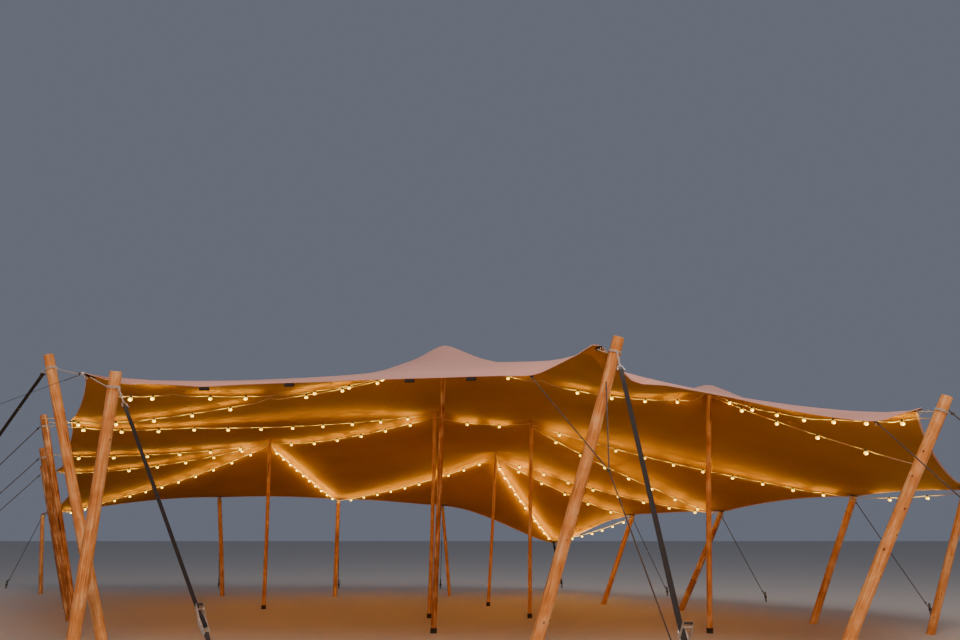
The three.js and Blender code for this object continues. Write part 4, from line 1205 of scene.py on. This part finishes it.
for name in FLAT_ONES:
    pole_name, tip, stake = GUYS[name]
    tie = vec(*stake, TIE_HEIGHT)
    start = collar_edge(pole_name, tie)
    pull = down, across, out = pull_frame(start, tie)
    hang = start + down * (SLING_LONG if name in RATCHETS else PROP_SLING_LONG)
    low_end = tie - down * 0.03
    if name in RATCHETS:
        spool = start + (tie - start) * (start[2] - SPOOL_HEIGHT) / (start[2] - tie[2])
        webs = [wound_strap(hang, spool, pull), strap_part(spool + down * BOLT_HEADS[1], low_end)]
        matrix = frame_matrix(down, across, out, spool)
        assemble(f"{name}_ratchet_frame", ratchet_body_parts(), [name], place=matrix)
        node, body, angle = RATCHETS[name]
        turn = math.radians(angle)
        x_axis, z_axis = (math.cos(turn), 0, -math.sin(turn)), (math.sin(turn), 0, math.cos(turn))
        swing = frame_matrix(x_axis, (0, 1, 0), z_axis, (0, 0, 0))
        assemble(f"{node}_steel", handle_parts(), [node], body=body, place=matrix @ swing)
    else:
        webs = [strap_part(hang, low_end)]
    assemble(f"{name}_webbing", webs, [name])
    shackles = shackle_parts(hang, down, across) + shackle_parts(low_end, -down, across, bow=0.035)
    assemble(f"{name}_shackles", shackles, [name])
    slings = tip_parts(pole_name, tip) + sling_parts(start, hang - down * 0.045, pull)
    assemble(f"{name}_slings", slings, [name])
    round_stake = [tie + vec(0.019 * math.cos(a), 0.019 * math.sin(a), 0) for a in turn_of(20)]
    stake_loop = sweep(round_stake, ribbon()[:, ::-1], black_webbing, across=vec(0, 0, 1), closed=True)
    assemble(f"{name}_stake_loop", [stake_loop], [name])
print("three straps, two of them with ratchets")

# %% [markdown]
# Four more lines hold the hem on its own: a strap from the ring at the front left corner, two edge
# ropes at the front, and a strap at the back corner. The first edge rope meets a branch from the pole
# beside it in a knot.

# %% Lines on the hem
CORNER_STAKE, BACK_STAKE = (-7.6, -6.7), (2.7, 7.5)
EDGE_KNOT, EDGE_STAKE, RIGHT_ROPE_STAKE = (1.9, -4.2, 2.0), (2.35, -5.0), (5.4, -6.2)
RING_RADIUS = 0.041
BRANCH_BELOW_HEAD = 0.52


def hem_strap(name, start, reach, stake):
    """A strap from a place on the hem, or from a ring there, down to a stake."""
    tie = vec(*stake, TIE_HEIGHT)
    down, across, out = pull_frame(start, tie)
    low_end = tie - down * 0.03
    assemble(f"{name}_webbing", [strap_part(start + down * reach, low_end)], [name])
    assemble(f"{name}_shackle", shackle_parts(low_end, -down, across, bow=0.035), [name])
    stake_piece(name, stake)


ring = hoop(vec(*RING_CENTRE), vec(0, 0, 1), RING_RADIUS, 0.007, 12, 40)
assemble("corner_ring", [ring], ["corner_strap"])
hem_strap("corner_strap", vec(*RING_CENTRE), RING_RADIUS, CORNER_STAKE)
hem_strap("back_corner_strap", hem_tab(HEM_HELD[28, 28]), 0.0, BACK_STAKE)

foot, head, thick, kind = POLES["front_right_pole"]
knot = vec(*EDGE_KNOT)
branch = vec(*head) - unit(vec(*head) - vec(*foot, 0)) * BRANCH_BELOW_HEAD
branch += unit((knot - branch) * vec(1, 1, 0)) * thick * 0.46
tie = vec(*EDGE_STAKE, TIE_HEIGHT)
front_edge = [dark_line(hem_tab(HEM_HELD[15, 0]), knot, 0.004), dark_line(knot, tie, 0.004),
              dark_line(branch, knot, 0.012), knot_part(knot, 0.02, 0.014, dark_rope, unit(tie - knot)),
              turns_round_stake(EDGE_STAKE)]
assemble("front_edge_rope_lines", front_edge, ["front_edge_rope"])
stake_piece("front_edge_rope", EDGE_STAKE)
right_edge = [dark_line(hem_tab(HEM_HELD[26, 0]), vec(*RIGHT_ROPE_STAKE, TIE_HEIGHT), 0.006),
              turns_round_stake(RIGHT_ROPE_STAKE)]
assemble("right_edge_rope_line", right_edge, ["right_edge_rope"])
stake_piece("right_edge_rope", RIGHT_ROPE_STAKE)
print("four lines on the hem")

# %% [markdown]
# A festoon is a rubber cable with a moulded lampholder about every half metre and a round clear lamp in
# each, lit warm white. The cable runs from pole to pole close under the cloth and sags a little between
# two lamps. A lit glass has no shadow side: it is brightest round its filament and more orange at its
# rim, and that comes from a mark on the mesh that grows towards the lamp's middle height. A glass that
# shone as hard as a real one would come out white, so it glows gently here and lights do its work.

# %% Lamps and cable
LAMP_GLOW = 3.4

moulded_black = moulded_finish("moulded_black_lampholder", 120.0, 3.0,
                               [(0.4, "#151413"), (0.8, "#2b2825")], (0.2, 0.0004), Roughness=0.5)
pale_cable = moulded_finish("ivory_rubber_cable", 9.0, 4.0,
                            [(0.3, "#b89a72"), (0.7, "#e2cda8")], (0.2, 0.001), Roughness=0.45)
lit = Finish("lit_warm_glass")
middle = lit.mark()
lit_glass = lit.done({
    "Base Color": "#fff1dc", "Roughness": 0.08,
    "Emission Color": lit.ramp(middle, (0.0, "#ff9a00"), (0.5, "#ffc000"), (1.0, "#ffd21c")),
    "Emission Strength": lit.between(middle, 0.4 * LAMP_GLOW, LAMP_GLOW)})
print("finishes:", moulded_black.name, pale_cable.name, lit_glass.name)

# %% [markdown]
# Each string is a row of stops: a pole with how far below its head the cable passes, on which side of
# it where that matters, or a place on the ground with the cloth above it. The cable goes from stop to
# stop close under the cloth. Long spans sag more, and a few have their lamps closer together.

# %% Festoon strings
FESTOONS = {
    "festoon_front": [
        ("front_left_pole", 0.26), (-3.25, -2.15), (-2.2, -1.1), ("main_pole", 0.24), (1.6, -0.75),
        ("right_peak_pole", 0.11), ("right_front_pole", 0.26),
    ],
    "festoon_left_front": [("left_pole_1", 0.06, "right"), (-2.4, -0.9), ("main_pole", 0.27)],
    "festoon_left_upper": [("left_pole_1", 0.095), ("inner_pole_middle", 0.05)],
    "festoon_left_middle": [
        ("left_pole_2", 0.1), ("inner_pole_left", 0.08),
        ("inner_pole_middle", 0.09), ("inner_pole_right", 0.05),
    ],
    "festoon_left_back": [("left_pole_3", 0.1), ("inner_pole_left", 0.11)],
    "festoon_back": [
        ("back_left_pole", 0.025), ("inner_pole_left", 0.05),
        ("back_pole_2", 0.035), ("inner_pole_back", 0.05, "right"),
    ],
    "festoon_back_corner": [("inner_pole_back", 0.12), (2.36, 5.9), ("right_pole_4", 0.018)],
    "festoon_back_right": [("inner_pole_back", 0.08), ("right_pole_4", 0.03, "right")],
    "festoon_right_back": [("inner_pole_back", 0.175), ("right_pole_3", 0.018)],
    "festoon_right_middle": [("inner_pole_right", 0.11), ("right_pole_3", 0.03)],
    "festoon_right": [("inner_pole_right", 0.08), ("right_pole_2", 0.025), ("right_pole_1", 0.025)],
    "festoon_right_front": [("right_peak_pole", 0.18), ("right_front_pole", 0.8)],
}
CABLE_ACROSS, LAMP_PITCH, DROP = 0.01, 0.52, 0.045
SAG_SHARE, CABLE_SAG = 0.012, 0.006
DEEPER_SAG = {"festoon_left_upper": 0.026, "festoon_right": 0.02, "festoon_right_middle": 0.025,
              "festoon_back_corner": 0.03, "festoon_back": 0.02}
OTHER_PITCH = {("festoon_back", 2): 0.28, ("festoon_back", 3): 0.4, ("festoon_back_corner", 1): 0.27,
               ("festoon_back_corner", 2): 0.3, ("festoon_right_front", 1): 0.75}
STEPS_A_LAMP = 4


def festoon_anchors(stops):
    """A string's stops: beside each pole, touching it, or under the cloth."""
    plan = [vec(*(POLES[stop[0]][1][:2] if isinstance(stop[0], str) else stop)) for stop in stops]
    anchors = []
    for k, stop in enumerate(stops):
        if not isinstance(stop[0], str):
            anchors.append(vec(*stop, cloth_height(*stop) - DROP))
            continue
        foot, head, across, kind = POLES[stop[0]]
        run = unit(vec(*head) - vec(*foot, 0))
        before, after = plan[max(k - 1, 0)], plan[min(k + 1, len(plan) - 1)]
        aside = unit(vec(before[1] - after[1], after[0] - before[0], 0))
        if k in (0, len(stops) - 1):
            other_side = stop[-1] == "right"
        else:
            other_side = aside[:2] @ ((before + after) / 2 - plan[k]) < 0
        beside = across / 2 * TAPER + CABLE_ACROSS / 2
        anchors.append(vec(*head) - run * stop[1] + aside * (-beside if other_side else beside))
    return anchors


def festoon_route(name):
    """A line close under the cloth that sags freely where that is lower, and the lamps' places on it."""
    anchors = festoon_anchors(FESTOONS[name])
    route, lamps = [anchors[0]], []
    for k, (start, end) in enumerate(zip(anchors, anchors[1:]), start=1):
        length = float(np.linalg.norm(end - start))
        pitch = OTHER_PITCH.get((name, k), LAMP_PITCH)
        steps = STEPS_A_LAMP * max(2, round(length / pitch))
        sag = DEEPER_SAG.get(name, SAG_SHARE) * length
        for m in range(1, steps + 1):
            share = m / steps
            point = start + (end - start) * share - vec(0, 0, 4 * sag * share * (1 - share))
            for near in (m - 1, m, m + 1) if m < steps else ():
                above = cloth_height(*(start + (end - start) * near / steps)[:2])
                if above is not None:
                    point[2] = min(point[2], above - DROP)
            between = m % STEPS_A_LAMP / STEPS_A_LAMP
            route.append(point - vec(0, 0, 4 * CABLE_SAG * between * (1 - between)))
            if between == 0 and m < steps:
                lamps.append((point, unit(end - start)))
    return np.array(route), lamps


print("the front string bends at", len(festoon_anchors(FESTOONS["festoon_front"])), "stops")

# %% [markdown]
# Every lamp hangs from the cable as two turned shapes: a black holder with ribs, and the glass. The
# mark on the glass is strongest at its middle height, where the filament is.

# %% Lamps on their strings
HOLDER_PROFILE = [(0.011, 0.002), (0.011, 0.012), (0.008, 0.0155), (0.002, 0.0165), (-0.001, 0.015),
                  (-0.004, 0.0165), (-0.007, 0.015), (-0.01, 0.0165), (-0.016, 0.0175), (-0.018, 0.014)]
GLASS_RADIUS, GLASS_BELOW = 0.023, 0.036


def hung_part(profile, centre, finish, sides):
    """A turned shape that hangs from a point, drawn from its top down."""
    part = skin([centre + ring for ring in level_rings(profile, sides)], finish)
    part["faces"] = [face[::-1] for face in part["faces"]]
    return part


def lamp_parts(point):
    glass = [(-0.0165, 0.013), (-0.018, 0.0135)]
    glass += [(-GLASS_BELOW + GLASS_RADIUS * math.cos(a), GLASS_RADIUS * math.sin(a))
              for a in np.linspace(0.62, math.pi - 0.12, 9)]
    bulb = hung_part(glass, point, lit_glass, 16)
    height = (bulb["points"][:, 2] - point[2] + GLASS_BELOW) / GLASS_RADIUS
    bulb["mark"] = np.clip(1 - height ** 2, 0, 1)
    return [hung_part(HOLDER_PROFILE, point, moulded_black, 14), bulb]


lamp_places = []
for name in FESTOONS:
    route, lamps = festoon_route(name)
    parts = [sweep(route, circle(CABLE_ACROSS / 2, 8), pale_cable)]
    for point, run in lamps:
        parts += lamp_parts(point)
    lamp_places += lamps
    assemble(f"{name}_string", parts, [name])
print(f"{len(FESTOONS)} strings with {len(lamp_places)} lamps")

# %% [markdown]
# The studio is as plain as it can be: a pale floor, a dim grey room, one very large soft light over the
# tent and a warm one low in front. The lamps under the cloth have to show, so the room is kept darker
# than for a daylight picture. Each lamp gets two lights of its own. A small round one lights the poles
# and the floor, and a strip along the cable shines up only, which draws the bright streak that a lamp
# makes on cloth a hand's width above it. Neither is seen itself.

# %% Floor and light
FLOOR_HALF = 60
LAMP_TONE, LAMP_WATTS, LAMP_BELOW = "#ffc866", 0.45, 0.09
STRIP_TONE, STRIP_WATTS, STRIP_BELOW, STRIP_LONG = "#ffe060", 1.05, 0.05, 0.36
SOURCE_WIDE = 0.03

floor_mesh = bpy.data.meshes.new("floor")
floor_mesh.from_pydata([(x * FLOOR_HALF, y * FLOOR_HALF, 0) for x, y in ((-1, -1), (1, -1), (1, 1), (-1, 1))],
                       [], [(0, 1, 2, 3)])
floor_mesh.materials.append(Finish("pale_floor").done({"Base Color": "#cfcac2", "Roughness": 0.9}))
placed("floor", floor_mesh)

room = bpy.data.worlds.new("room")
room.use_nodes = True
room.node_tree.nodes["Background"].inputs["Color"].default_value = linear("#8f95a6")
room.node_tree.nodes["Background"].inputs["Strength"].default_value = 0.5
bpy.context.scene.world = room


def soft_light(name, place, aim, size, watts, tone):
    """A large round light that faces what it lights."""
    data = bpy.data.lights.new(name, "AREA")
    data.shape, data.size, data.energy = "DISK", size, watts
    data.color = linear(tone)[:3]
    light = placed(name, data)
    light.location = place
    light.rotation_euler = (Vector(aim) - Vector(place)).to_track_quat("-Z", "Y").to_euler()


def lamp_light(name, kind, place, watts, tone, run=None):
    """A small light that isn't seen itself: a round one, or with a direction a strip that shines up."""
    data = bpy.data.lights.new(name, kind)
    data.energy, data.color = watts, linear(tone)[:3]
    light = placed(name, data)
    if run is None:
        data.shadow_soft_size = SOURCE_WIDE
        light.location = place
    else:
        data.shape, data.size, data.size_y = "RECTANGLE", STRIP_LONG, SOURCE_WIDE
        across = unit(np.cross(run, vec(0, 0, 1)))
        light.matrix_world = Matrix(frame_matrix(run, across, np.cross(run, across), place).tolist())
    light.visible_camera = False


soft_light("sky_light", (3, -10, 13), (1, 1, 2), 10, 1600, "#f3e2d8")
soft_light("warm_light", (1, -20, 3.2), (0, 0, 1.6), 5, 1300, "#ffad5c")
for place, run in lamp_places:
    lamp_light("lamp_point", "POINT", place - vec(0, 0, LAMP_BELOW), LAMP_WATTS, LAMP_TONE)
    lamp_light("lamp_area", "AREA", place - vec(0, 0, STRIP_BELOW), STRIP_WATTS, STRIP_TONE, run)
print("floor and lights are in place")
